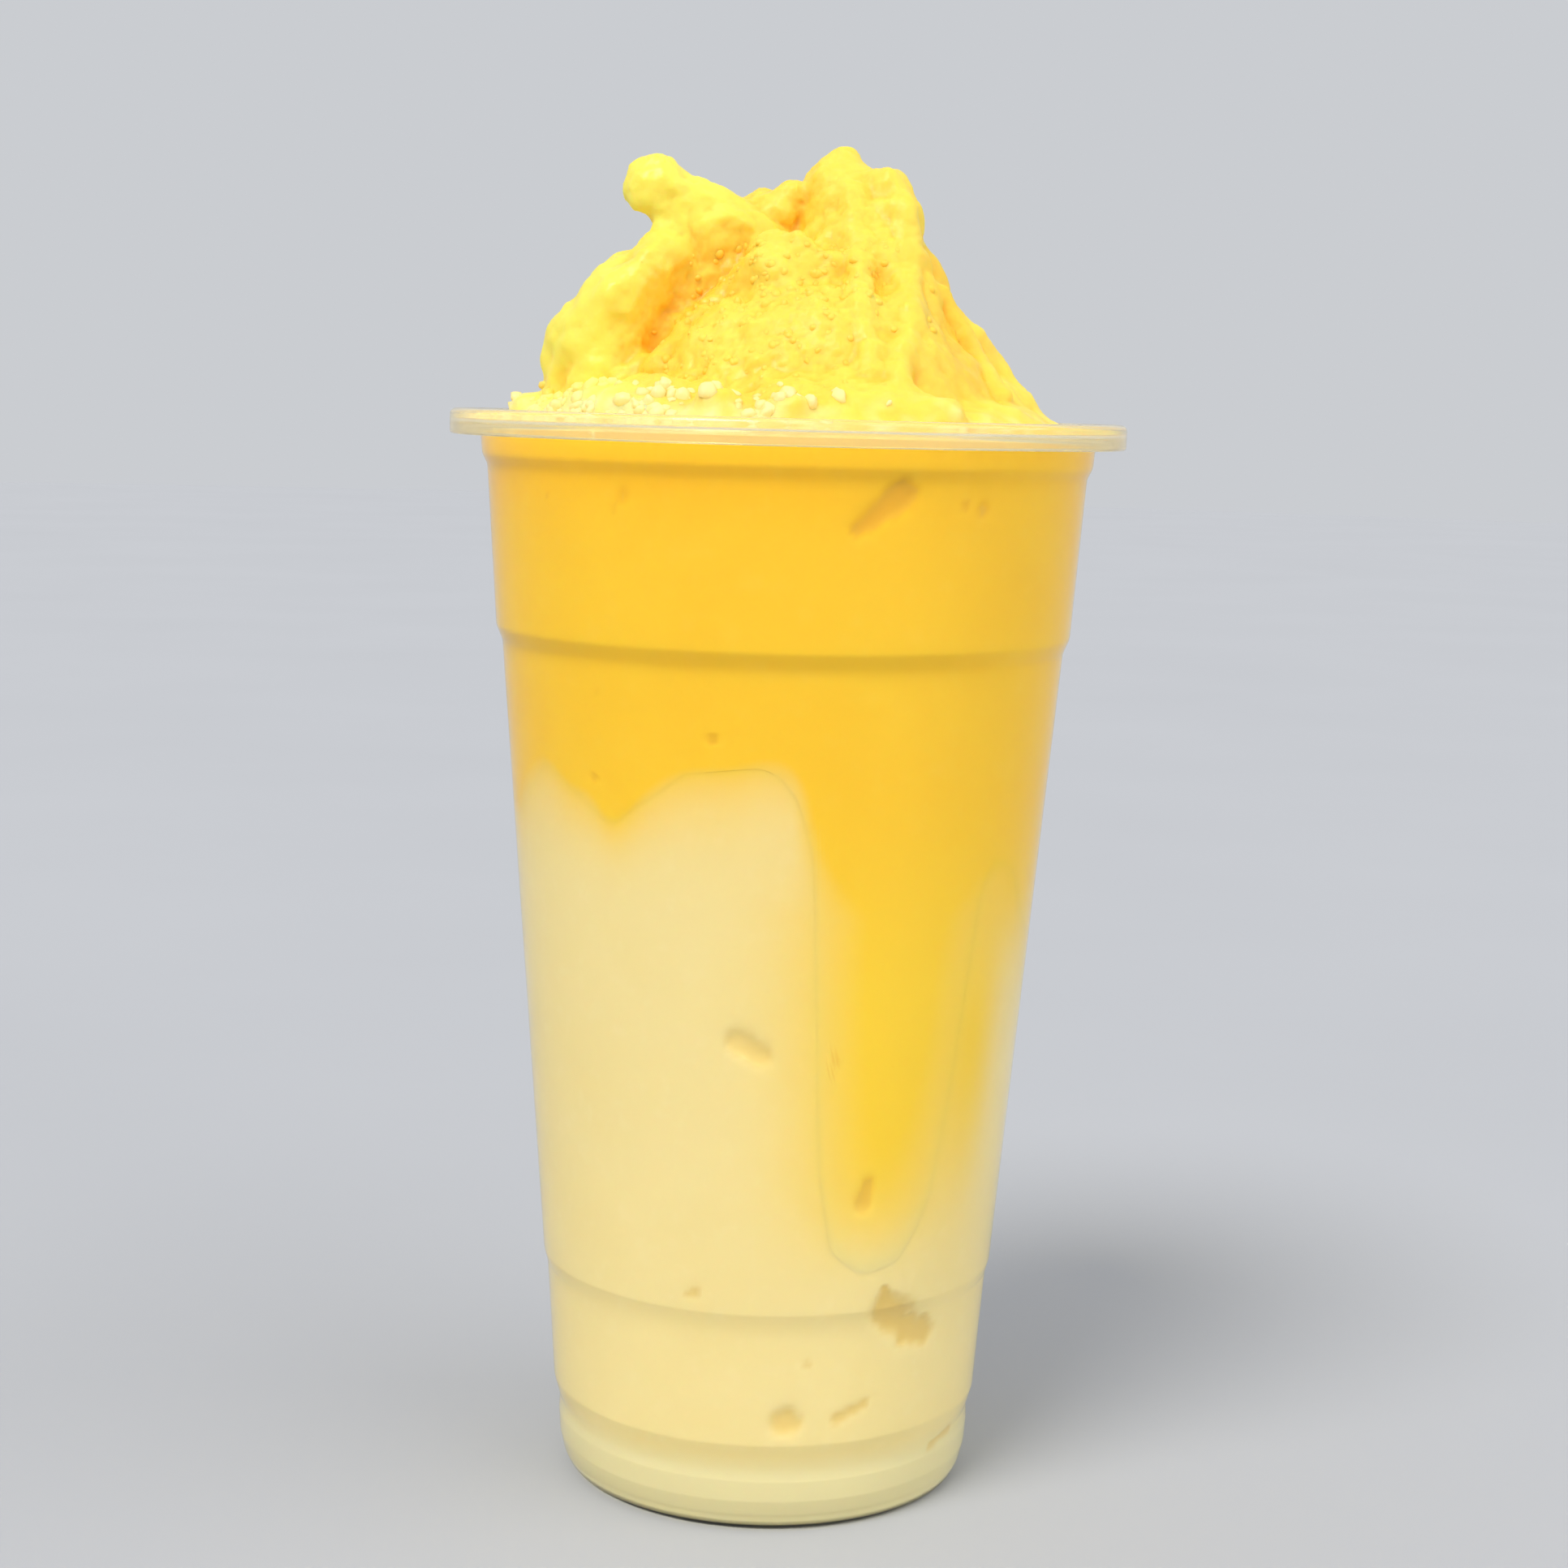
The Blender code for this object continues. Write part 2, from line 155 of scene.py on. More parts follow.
def bake_modifiers(piece):
    """Turns what the modifiers make into the piece's own mesh, and takes the modifiers off."""
    evaluated = piece.evaluated_get(bpy.context.evaluated_depsgraph_get())
    mesh = bpy.data.meshes.new_from_object(evaluated)
    piece.modifiers.clear()
    old, piece.data = piece.data, mesh
    bpy.data.meshes.remove(old)
    mesh.name = piece.name
    return mesh


def volume_of(mesh):
    bm = bmesh.new()
    bm.from_mesh(mesh)
    volume = bm.calc_volume(signed=True)
    bm.free()
    return volume


def dress(piece, node):
    """The piece stands for a solid, which it hides, and moves with the whole drink."""
    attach(piece, "root")
    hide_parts(node)
    faces = sum(len(face.vertices) - 2 for face in piece.data.polygons)
    millilitres = volume_of(piece.data) * 1e6
    print(f"{piece.name}: {faces} triangles, {millilitres:.1f} ml, for {node}")


def merged_copy(node):
    """A copy of a solid's mesh with its loose triangles joined, as a bmesh."""
    bm = bmesh.new()
    bm.from_mesh(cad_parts[node].data)
    bmesh.ops.remove_doubles(bm, verts=bm.verts, dist=SAME_PLACE)
    return bm


# %% [markdown]
# ## Helpers for shaders
#
# A material here is a Principled BSDF whose colour, roughness and bump come from noise patterns.
# Writing every link out by hand would bury the recipe, so small functions make a node with its
# values set, a group with its sockets and a mix of two colours. Patterns read Object coordinates, so
# they are in metres and stay put on the object whatever the camera does.

# %% Helpers for shaders
def srgb(red, green, blue):
    """A screen colour, 0 to 255, as the linear colour that a shader wants."""
    shares = [value / 255 for value in (red, green, blue)]
    return tuple(s / 12.92 if s <= 0.04045 else ((s + 0.055) / 1.055) ** 2.4 for s in shares)


def add_node(tree, kind, inputs=None, **settings):
    """A node with its settings and inputs. An input is a plain value or a socket to link."""
    made = tree.nodes.new(kind)
    for name, value in settings.items():
        setattr(made, name, value)
    for name, value in (inputs or {}).items():
        socket = made.inputs[name]
        if isinstance(value, bpy.types.NodeSocket):
            tree.links.new(value, socket)
        elif socket.type == "RGBA" and len(value) == 3:
            socket.default_value = (*value, 1)
        else:
            socket.default_value = value
    return made


def new_group(name, kind, inputs, outputs):
    """A node group with named sockets, and its input and output nodes."""
    tree = bpy.data.node_groups.new(name, kind)
    for direction, sockets in (("INPUT", inputs), ("OUTPUT", outputs)):
        for socket, (socket_kind, value) in sockets.items():
            made = tree.interface.new_socket(socket, in_out=direction, socket_type=socket_kind)
            if value is not None:
                made.default_value = (*value, 1) if socket_kind == "NodeSocketColor" else value
    return tree, tree.nodes.new("NodeGroupInput"), tree.nodes.new("NodeGroupOutput")


def math_node(tree, operation, first, second=0.0, clamp=False):
    made = add_node(tree, "ShaderNodeMath", {0: first, 1: second}, operation=operation)
    made.use_clamp = clamp
    return made.outputs[0]


def mix_colour(tree, share, first, second, blend="MIX"):
    made = tree.nodes.new("ShaderNodeMix")
    made.data_type = "RGBA"
    made.blend_type = blend
    for index, value in ((0, share), (6, first), (7, second)):
        socket = made.inputs[index]
        if isinstance(value, bpy.types.NodeSocket):
            tree.links.new(value, socket)
        else:
            socket.default_value = (*value, 1) if index else value
    return made.outputs[2]


def new_material(name):
    """A material with an empty node tree that holds only its output."""
    made = bpy.data.materials.new(name)
    made.use_nodes = True
    tree = made.node_tree
    tree.nodes.clear()
    output = tree.nodes.new("ShaderNodeOutputMaterial")
    where = tree.nodes.new("ShaderNodeTexCoord").outputs["Object"]
    return made, tree, output, where


def marks_of(tree, *names):
    """The numbers that each point of the mesh carries under these names, as sockets."""
    return [
        add_node(tree, "ShaderNodeAttribute", attribute_name=name).outputs["Fac"] for name in names
    ]


def use_group(tree, group, inputs):
    made = tree.nodes.new("ShaderNodeGroup")
    made.node_tree = group
    for name, value in inputs.items():
        socket = made.inputs[name]
        if isinstance(value, bpy.types.NodeSocket):
            tree.links.new(value, socket)
        elif socket.type == "RGBA":
            socket.default_value = (*value, 1)
        else:
            socket.default_value = value
    return made.outputs


# %% [markdown]
# ## Two effects that the food shares
#
# Blended fruit is never one flat colour. Slow clouds of thicker and thinner pulp run through it, and
# fine ice crystals make its surface sparkle and catch light in points. The clouds are a large soft
# noise that pushes the colour up and down. The crystals are small rounds and lumps, to feed a bump,
# and a slower noise that says where the surface is wet and where it is dry.
# Both are node groups, because the cream, the mango, the heap and the grains all use them, each with
# its own values.

# %% Group: clouds of pulp
FINE_CLOUDS = 5.3


def build_pulp_group():
    tree, inside, outside = new_group(
        "pulp clouds", "ShaderNodeTree",
        {
            "Place": ("NodeSocketVector", None), "Colour": ("NodeSocketColor", (1, 1, 1)),
            "Deep": ("NodeSocketColor", (1, 1, 1)), "Pale": ("NodeSocketColor", (1, 1, 1)),
            "Size": ("NodeSocketFloat", 100.0), "Depth": ("NodeSocketFloat", 0.5),
        },
        {"Colour": ("NodeSocketColor", None), "Cloud": ("NodeSocketFloat", None)},
    )
    given = inside.outputs
    wide = add_node(tree, "ShaderNodeTexNoise", {
        "Vector": given["Place"], "Scale": given["Size"], "Detail": 3.0, "Roughness": 0.55,
        "Distortion": 0.6,
    })
    fine_size = math_node(tree, "MULTIPLY", given["Size"], FINE_CLOUDS)
    fine = add_node(tree, "ShaderNodeTexNoise", {
        "Vector": given["Place"], "Scale": fine_size, "Detail": 2.0, "Roughness": 0.5,
    })
    spread = add_node(tree, "ShaderNodeMapRange", {
        "Value": wide.outputs["Fac"], "From Min": 0.3, "From Max": 0.7, "To Min": 0.0, "To Max": 1.0,
    })
    grains = add_node(tree, "ShaderNodeMapRange", {
        "Value": fine.outputs["Fac"], "From Min": 0.55, "From Max": 0.8, "To Min": 0.0, "To Max": 0.6,
    })
    thin = math_node(tree, "SUBTRACT", 1.0, spread.outputs[0])
    dark = math_node(tree, "MULTIPLY", thin, given["Depth"])
    light = math_node(tree, "MULTIPLY", grains.outputs[0], given["Depth"])
    deeper = mix_colour(tree, dark, given["Colour"], given["Deep"])
    paler = mix_colour(tree, light, deeper, given["Pale"])
    tree.links.new(paler, outside.inputs["Colour"])
    tree.links.new(spread.outputs[0], outside.inputs["Cloud"])
    return tree


PULP = build_pulp_group()
print("group:", PULP.name, len(PULP.nodes), "nodes")


# %% Group: ice crystals
LUMP_SIZE = 0.37
FILM_SIZE = 0.12
ROUND_SHARE = 0.5


def build_crystal_group():
    tree, inside, outside = new_group(
        "ice crystals", "ShaderNodeTree",
        {
            "Place": ("NodeSocketVector", None), "Size": ("NodeSocketFloat", 900.0),
            "Dry": ("NodeSocketFloat", 0.6), "Wet": ("NodeSocketFloat", 0.3),
        },
        {"Height": ("NodeSocketFloat", None), "Roughness": ("NodeSocketFloat", None)},
    )
    given = inside.outputs
    grain = add_node(tree, "ShaderNodeTexVoronoi", {
        "Vector": given["Place"], "Scale": given["Size"], "Randomness": 1.0,
    })
    lumps = add_node(tree, "ShaderNodeTexNoise", {
        "Vector": given["Place"], "Scale": math_node(tree, "MULTIPLY", given["Size"], LUMP_SIZE),
        "Detail": 4.0, "Roughness": 0.6,
    })
    rounds = math_node(tree, "SUBTRACT", 1.0, grain.outputs["Distance"])
    low_rounds = math_node(tree, "MULTIPLY", rounds, ROUND_SHARE)
    height = math_node(tree, "ADD", low_rounds, lumps.outputs["Fac"])
    film = add_node(tree, "ShaderNodeTexNoise", {
        "Vector": given["Place"], "Scale": math_node(tree, "MULTIPLY", given["Size"], FILM_SIZE),
        "Detail": 2.0,
    })
    rough = add_node(tree, "ShaderNodeMapRange", {
        "Value": film.outputs["Fac"], "From Min": 0.35, "From Max": 0.65,
        "To Min": given["Wet"], "To Max": given["Dry"],
    })
    tree.links.new(height, outside.inputs["Height"])
    tree.links.new(rough.outputs[0], outside.inputs["Roughness"])
    return tree


CRYSTALS = build_crystal_group()
print("group:", CRYSTALS.name, len(CRYSTALS.nodes), "nodes")

# %% [markdown]
# ## The finish of the drink
#
# Both layers are the same kind of stuff, blended fruit and ice, in two colours that run into each
# other where they meet. One material with a mask is better than two with a hard edge. Each point of
# the mesh carries a number called mango, from 0 in the cream to 1 in the mango, and the shader mixes
# the two palettes by it. A second number paints shade into the places where air stands between the
# pulp and the cup. Where the mango has run down it is a thin film, and more lemon than the thick
# layer above, and the cream in the foot is duller. Both follow from the height alone. A little
# subsurface light gives the milky glow of real pulp. The wall's haze hides fine crystals, so they
# only change how wet the drink looks, and no bump is spent on them here.

# %% Colours of the drink
MANGO = srgb(251, 207, 46)
MANGO_DEEP = srgb(248, 197, 36)
MANGO_PALE = srgb(253, 214, 72)
MANGO_THIN = srgb(250, 213, 56)
# Painted shade in the mango's air pockets.
MANGO_POCKET_SHADE = srgb(228, 172, 36)
CREAM = srgb(242, 225, 164)
CREAM_DEEP = srgb(238, 219, 152)
CREAM_PALE = srgb(246, 233, 182)
# Painted shade in the cream's air pockets.
CREAM_POCKET_SHADE = srgb(222, 188, 100)
CREAM_FOOT = srgb(229, 219, 170)
THIN_BELOW = (78 * MM, 104 * MM)
FOOT_ABOVE = (8.5 * MM, 11.5 * MM)


def drink_material():
    made, tree, output, where = new_material("smoothie")
    mask, pocket = marks_of(tree, "mango", "pocket")
    mango = use_group(tree, PULP, {
        "Place": where, "Colour": MANGO, "Deep": MANGO_DEEP, "Pale": MANGO_PALE,
        "Size": 55.0, "Depth": 0.45,
    })
    cream = use_group(tree, PULP, {
        "Place": where, "Colour": CREAM, "Deep": CREAM_DEEP, "Pale": CREAM_PALE,
        "Size": 70.0, "Depth": 0.4,
    })
    surface = use_group(tree, CRYSTALS, {"Place": where, "Size": 700.0, "Dry": 0.62, "Wet": 0.42})
    height = add_node(tree, "ShaderNodeSeparateXYZ", {0: where}).outputs["Z"]
    thick, high = (
        add_node(tree, "ShaderNodeMapRange", {"Value": height, "From Min": low, "From Max": top})
        for low, top in (THIN_BELOW, FOOT_ABOVE)
    )
    layer = mix_colour(tree, thick.outputs[0], MANGO_THIN, mango["Colour"])
    base = mix_colour(tree, high.outputs[0], CREAM_FOOT, cream["Colour"])
    pulp = mix_colour(tree, mask, base, layer)
    # Painted shade in the air pockets, by the pocket mask.
    hollow = mix_colour(tree, mask, CREAM_POCKET_SHADE, MANGO_POCKET_SHADE)
    colour = mix_colour(tree, pocket, pulp, hollow)
    shader = add_node(tree, "ShaderNodeBsdfPrincipled", {
        "Base Color": colour, "Roughness": surface["Roughness"],
        "Subsurface Weight": 0.2, "Subsurface Radius": (1.0, 0.6, 0.25),
        "Subsurface Scale": 1.5 * MM, "Specular IOR Level": 0.25,
    })
    tree.links.new(shader.outputs[0], output.inputs["Surface"])
    return made


SMOOTHIE = drink_material()
print("material:", SMOOTHIE.name)

# %% [markdown]
# ## The finish of the cup
#
# The cup is thin, clear, thermoformed plastic, a little milky and hazy from the cold. Glass shaders
# block the light of lamps on its way to what is inside, which would leave the drink dull. So for
# shadow rays alone the glass is swapped for a transparent shader. Haze varies softly over the
# surface, and faint rings run round it from the way the sheet was drawn into its mould. The flange is
# the same sheet, but thicker and seen edge on, so it looks milkier; its warm tint is painted light
# from the drink, over the plastic's own milky white.

# %% Clear plastic, and the milkier plastic of the flange
DRAWN_RINGS = (25.0, 25.0, 420.0)


def plastic_material(name, tint, clearness, bending, smooth, hazy):
    made, tree, output, where = new_material(name)
    haze = add_node(tree, "ShaderNodeTexNoise", {
        "Vector": where, "Scale": 60.0, "Detail": 3.0, "Roughness": 0.5,
    })
    rough = add_node(tree, "ShaderNodeMapRange", {
        "Value": haze.outputs["Fac"], "From Min": 0.35, "From Max": 0.7,
        "To Min": smooth, "To Max": hazy,
    })
    rings = add_node(tree, "ShaderNodeMapping", {"Vector": where, "Scale": DRAWN_RINGS})
    drawn = add_node(tree, "ShaderNodeTexNoise", {
        "Vector": rings.outputs[0], "Scale": 1.0, "Detail": 2.0, "Roughness": 0.4,
    })
    bump = add_node(tree, "ShaderNodeBump", {
        "Height": drawn.outputs["Fac"], "Strength": 0.12, "Distance": 0.1 * MM,
    })
    glass = add_node(tree, "ShaderNodeBsdfPrincipled", {
        "Base Color": tint, "Roughness": rough.outputs[0], "Normal": bump.outputs[0],
        "Transmission Weight": clearness, "IOR": bending,
    })
    clear = add_node(tree, "ShaderNodeBsdfTransparent", {"Color": tint})
    shadow = add_node(tree, "ShaderNodeLightPath").outputs["Is Shadow Ray"]
    mixed = add_node(tree, "ShaderNodeMixShader", {
        0: shadow, 1: glass.outputs[0], 2: clear.outputs[0],
    })
    tree.links.new(mixed.outputs[0], output.inputs["Surface"])
    return made


PLASTIC = plastic_material(
    "clear_plastic", srgb(252, 251, 244), clearness=1.0, bending=1.3, smooth=0.1, hazy=0.22
)
# The flange's warm tint is painted light from the yellow drink; the milkiness is the plastic's own.
RIM_PLASTIC = plastic_material(
    "flange_plastic", srgb(252, 242, 204), clearness=0.8, bending=1.45, smooth=0.08, hazy=0.2
)
print("materials:", PLASTIC.name, "and", RIM_PLASTIC.name)

# %% [markdown]
# ## The section of the cup
#
# A cup like this is round, so one section says all about it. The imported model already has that
# section, with sharp corners, so it is read off the model instead of being written down again. The
# points that lie in the half plane beside the axis are followed along their edges. Then each corner
# is rounded with a small arc, because thermoformed plastic has no sharp corners. The inside is split
# where the groove round the floor ends, as the drink has to follow both its floor and its wall.

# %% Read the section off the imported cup
def read_section(node):
    """The (radius, height) points of a turned solid, from its underside round to its inside."""
    bm = merged_copy(node)
    on_plane = {v for v in bm.verts if abs(v.co.y) < SAME_PLACE and v.co.x > 0}

    def neighbours(vert):
        return [e.other_vert(vert) for e in vert.link_edges if e.other_vert(vert) in on_plane]

    ends = [v for v in on_plane if len(neighbours(v)) == 1]
    line = [min(ends, key=lambda v: v.co.z)]
    while len(line) < len(on_plane):
        line += [v for v in neighbours(line[-1]) if v not in line]
    points = [(v.co.x, v.co.z) for v in line]
    bm.free()
    return [(0, points[0][1])] + points + [(0, points[-1][1])]


SECTION = read_section("cup")
print("section:", len(SECTION), "points, from", SECTION[0], "to", SECTION[-1])


# %% Round the corners of the section
CORNER_RADIUS = 2.4 * MM
CORNER_REACH = 0.5
CORNER_POINTS = 5
SOFT_TURN = math.radians(3)


def round_corners(points, radius):
    """Replaces each corner of a line by an arc, as large as its neighbours leave room for."""
    line = [Vector(point) for point in points]
    rounded = [line[0]]
    for before, corner, after in zip(line, line[1:], line[2:]):
        back, ahead = before - corner, after - corner
        turn = math.pi - back.angle(ahead)
        if turn < SOFT_TURN:
            rounded.append(corner)
            continue
        room = min(radius * math.tan(turn / 2), CORNER_REACH * min(back.length, ahead.length))
        start = corner + back.normalized() * room
        end = corner + ahead.normalized() * room
        for step in range(CORNER_POINTS + 1):
            share = step / CORNER_POINTS
            rounded.append(
                start * (1 - share) ** 2 + corner * 2 * share * (1 - share) + end * share**2
            )
    rounded.append(line[-1])
    return rounded


SOFT_SECTION = round_corners(SECTION, CORNER_RADIUS)
TOP = max(point.y for point in SOFT_SECTION)
MOUTH_INDEX = min(
    (i for i, point in enumerate(SOFT_SECTION) if point.y > TOP - 0.05 * MM),
    key=lambda i: SOFT_SECTION[i].x,
)
MOUTH_RADIUS = SOFT_SECTION[MOUTH_INDEX].x
INSIDE = SOFT_SECTION[MOUTH_INDEX:][::-1]
GROOVE_LEVEL = min(point.y for point in INSIDE)
GROOVE_END = max(i for i, point in enumerate(INSIDE) if point.y < GROOVE_LEVEL + 0.05 * MM)
FLOOR_LINE, WALL_LINE = INSIDE[:GROOVE_END + 1], INSIDE[GROOVE_END + 1:]
print("rounded section:", len(SOFT_SECTION), "points")
print("inside: floor and groove", len(FLOOR_LINE), "points, wall", len(WALL_LINE))

# %% [markdown]
# ## Turning the section
#
# A Screw modifier or bmesh's spin could turn the section. Geometry Nodes do it here, because the
# whole rule then stands in one small tree that can be reused: a grid has one row for each point of
# the section and one column for each step round the axis. Every grid point looks its radius and
# height up on the section and moves there. The seam and the two poles are closed by merging.

# %% A Geometry Nodes tree that turns a section
def build_turning_tree():
    tree, inside, outside = new_group(
        "turned section", "GeometryNodeTree",
        {
            "Section": ("NodeSocketGeometry", None), "Sides": ("NodeSocketInt", 64),
            "Material": ("NodeSocketMaterial", None),
        },
        {"Turned": ("NodeSocketGeometry", None)},
    )
    given = inside.outputs
    size = add_node(tree, "GeometryNodeAttributeDomainSize", {"Geometry": given["Section"]})
    columns = math_node(tree, "ADD", given["Sides"], 1.0)
    grid = add_node(tree, "GeometryNodeMeshGrid", {
        "Size X": 1.0, "Size Y": 1.0, "Vertices X": size.outputs["Point Count"],
        "Vertices Y": columns,
    })
    here = tree.nodes.new("GeometryNodeInputPosition").outputs[0]
    place = add_node(tree, "ShaderNodeSeparateXYZ", {0: here})
    last_row = math_node(tree, "SUBTRACT", size.outputs["Point Count"], 1.0)
    along = math_node(tree, "MULTIPLY", math_node(tree, "ADD", place.outputs[0], 0.5), last_row)
    row = math_node(tree, "ROUND", along)
    turn = math_node(tree, "MULTIPLY", math_node(tree, "ADD", place.outputs[1], 0.5), -2 * math.pi)
    found = add_node(tree, "GeometryNodeSampleIndex", {
        "Geometry": given["Section"], "Index": row, "Value": here,
    }, data_type="FLOAT_VECTOR", domain="POINT")
    point = add_node(tree, "ShaderNodeSeparateXYZ", {0: found.outputs["Value"]})
    across = math_node(tree, "MULTIPLY", point.outputs[0], math_node(tree, "COSINE", turn))
    beside = math_node(tree, "MULTIPLY", point.outputs[0], math_node(tree, "SINE", turn))
    moved = add_node(tree, "ShaderNodeCombineXYZ", {0: across, 1: beside, 2: point.outputs[2]})
    wrapped = add_node(tree, "GeometryNodeSetPosition", {
        "Geometry": grid.outputs["Mesh"], "Position": moved.outputs[0],
    })
    closed = add_node(tree, "GeometryNodeMergeByDistance", {
        "Geometry": wrapped.outputs[0], "Distance": SAME_PLACE,
    })
    smooth = add_node(tree, "GeometryNodeSetShadeSmooth", {"Geometry": closed.outputs[0]})
    real = add_node(tree, "GeometryNodeRealizeInstances", {"Geometry": smooth.outputs[0]})
    painted = add_node(tree, "GeometryNodeSetMaterial", {
        "Geometry": real.outputs[0], "Material": given["Material"],
    })
    tree.links.new(painted.outputs[0], outside.inputs["Turned"])
    return tree


def run_tree(piece, tree, values):
    """Runs a tree on a piece, by its sockets' identifiers, and keeps the tree's material alone."""
    modifier = piece.modifiers.new(tree.name, "NODES")
    modifier.node_group = tree
    for item in tree.interface.items_tree:
        if item.item_type == "SOCKET" and item.in_out == "INPUT" and item.name in values:
            modifier[item.identifier] = values[item.name]
    mesh = bake_modifiers(piece)
    mesh.materials.clear()
    mesh.materials.append(values["Material"])
    mesh.polygons.foreach_set("material_index", [0] * len(mesh.polygons))
    return mesh


TURNING = build_turning_tree()
print("tree:", TURNING.name, len(TURNING.nodes), "nodes")

# %% [markdown]
# ## The cup
#
# The section becomes a short chain of edges, and the tree turns it. With 200 sides the rim is round
# even close up. The faces outside the mouth then take the milkier plastic. The shell's volume is
# printed, because a shell that is inside out would show a negative number here.

# %% Turn the cup
CUP_SIDES = 200
FLANGE_START = MOUTH_RADIUS + 0.6 * MM


def frost_flange(mesh):
    mesh.materials.append(RIM_PLASTIC)
    radii = [math.hypot(vert.co.x, vert.co.y) for vert in mesh.vertices]
    flange = [face for face in mesh.polygons if min(radii[i] for i in face.vertices) > FLANGE_START]
    for face in flange:
        face.material_index = 1
    print("flange faces:", len(flange))


def build_cup():
    mesh = bpy.data.meshes.new("cup_shell")
    points = [(point.x, 0, point.y) for point in SOFT_SECTION]
    mesh.from_pydata(points, [(i, i + 1) for i in range(len(points) - 1)], [])
    shell = add_piece("cup_shell", mesh)
    frost_flange(run_tree(shell, TURNING, {"Sides": CUP_SIDES, "Material": PLASTIC}))
    dress(shell, "cup")
    return shell


cup_shell = build_cup()

# %% [markdown]
# ## Where the layers meet
#
# The two layers meet in a wavy line round the wall, with one long tongue of mango that has run down
# on the right of the front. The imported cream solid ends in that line, so it is read off the solid:
# at each of its sides, the highest point that touches the wall. Then a small flat map of the wall
# says how much mango there is at each place. The map starts as a hard step at the line, stirred with
# noise, as two wet pulps would mix. High up the mango has only just sunk into the cream, so the edge
# is narrow there and seeps downwards. Lower down it has run along the wall, and its edge is wide.
# Thin films of mango beside the tongue are added last.

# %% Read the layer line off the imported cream
WALL_REACH = 0.15 * MM
DEEPEST_REACH = 0.6 * MM
SOFTNESS_LOW = 1.5 * MM
SOFTNESS_HIGH = 0.6 * MM
wall_heights = np.array([point.y for point in WALL_LINE])
wall_radii = np.array([point.x for point in WALL_LINE])


def soften_wall():
    """The wall's line with its shoulders blurred, most of all the two low ones."""
    heights = np.arange(wall_heights[0], RIM_HEIGHT, 0.1 * MM)
    radii = np.interp(heights, wall_heights, wall_radii)
    widths = np.where(heights < RIM_HEIGHT / 2, SOFTNESS_LOW, SOFTNESS_HIGH)
    weights = np.exp(-0.5 * ((heights[:, None] - heights) / widths[:, None]) ** 2)
    soft = (weights * radii).sum(1) / weights.sum(1)
    return heights, np.clip(soft, radii, radii + DEEPEST_REACH - WALL_REACH) + WALL_REACH


soft_heights, soft_radii = soften_wall()


def wall_radius(height):
    """How far the drink reaches at a height: just into the wall, so that no air gap shows."""
    return np.interp(height, soft_heights, soft_radii)


SOLID_SIDES = 96
AT_WALL = 0.8 * MM


def read_layer_line():
    """Azimuths, in degrees from the front to the right, the line's heights, and the core's."""
    bm = merged_copy("cream_layer")
    core = min((v.co for v in bm.verts if v.co.z > RIM_HEIGHT / 2), key=lambda co: co.xy.length).z
    best = {}
    for vert in bm.verts:
        x, y, z = vert.co
        side = math.degrees(math.atan2(x, -y)) % 360 * SOLID_SIDES / 360
        if abs(side - round(side)) < 0.01 and math.hypot(x, y) > wall_radius(z) - AT_WALL:
            side = round(side) % SOLID_SIDES
            best[side] = max(best.get(side, 0), z)
    bm.free()
    sides = sorted(best)
    heights = np.array([best[side] for side in sides])
    return np.array(sides) * 360 / SOLID_SIDES, heights, core


line_sides, line_heights, core_height = read_layer_line()


def layer_height(azimuth):
    return np.interp(np.asarray(azimuth) % 360, line_sides, line_heights, period=360)


print("layer line:", len(line_sides), "sides,", line_heights.min() / MM, "to", line_heights.max() / MM)
print("between the layers on the axis:", round(core_height / MM, 1), "mm")

# %% Blur the line into a map of the wall
MAP_COLUMNS = 720
MAP_ROWS = 320
MEAN_RADIUS = 38
FINER_BY = 2.1
STIR = 2.4 * MM
STIR_ACROSS = 5.2
STIR_UP = 8.5
SWAY = 2.2
FINE_BLUR = 1.9 * MM
BLEED = 6.0 * MM
SOFT_BLUR = (8.0 * MM, 4.2 * MM)
SOFT_LIFT = 2.5 * MM
FINE_ABOVE = (88 * MM, 99 * MM)
FULL_SHARE = 1.25
WASHES = (
    ("right of the tongue", 52, 69, 9, 20, 0.65),
    ("right of the tongue, high", 64, 90, 11, 9, 0.6),
)
cell_up = RIM_HEIGHT / (MAP_ROWS - 1)
cell_across = 2 * math.pi * MEAN_RADIUS * MM / MAP_COLUMNS


def blurred(grid, across, up):
    """A Gaussian blur in cells, which wraps round sideways and holds its edges up and down."""
    for axis, width in ((1, across), (0, up)):
        reach = int(3 * width) + 1
        steps = np.arange(-reach, reach + 1)
        weights = np.exp(-0.5 * (steps / width) ** 2)
        weights /= weights.sum()
        mode = "wrap" if axis == 1 else "edge"
        pad = [(0, 0), (0, 0)]
        pad[axis] = (reach, reach)
        wide = np.pad(grid, pad, mode=mode)
        grid = sum(
            w * np.take(wide, np.arange(grid.shape[axis]) + i, axis=axis)
            for i, w in enumerate(weights)
        )
    return grid


def bled(grid, length):
    """Lets what is above seep down, so that its share falls off over a length in cells."""
    keep = math.exp(-1 / length)
    for row in range(len(grid) - 2, -1, -1):
        grid[row] = np.maximum(grid[row], grid[row + 1] * keep)
    return grid


def stirred_step(lift):
    """Where it is mango and where cream: a hard step at the layer line, stirred by noise."""
    grid = np.zeros((MAP_ROWS, MAP_COLUMNS))
    for column in range(MAP_COLUMNS):
        side = column * 360 / MAP_COLUMNS
        turn = math.radians(side)
        for row in range(MAP_ROWS):
            height = row * cell_up
            across, ahead = math.sin(turn) * STIR_ACROSS, -math.cos(turn) * STIR_ACROSS
            place = Vector((across, ahead, height / MM / STIR_UP))
            rise = noise.fractal(place, 0.8, FINER_BY, 3) * STIR
            sway = noise.noise(place * 0.9 + Vector((7, 3, 1))) * SWAY
            grid[row, column] = height + rise > layer_height(side + sway) + lift
    return grid


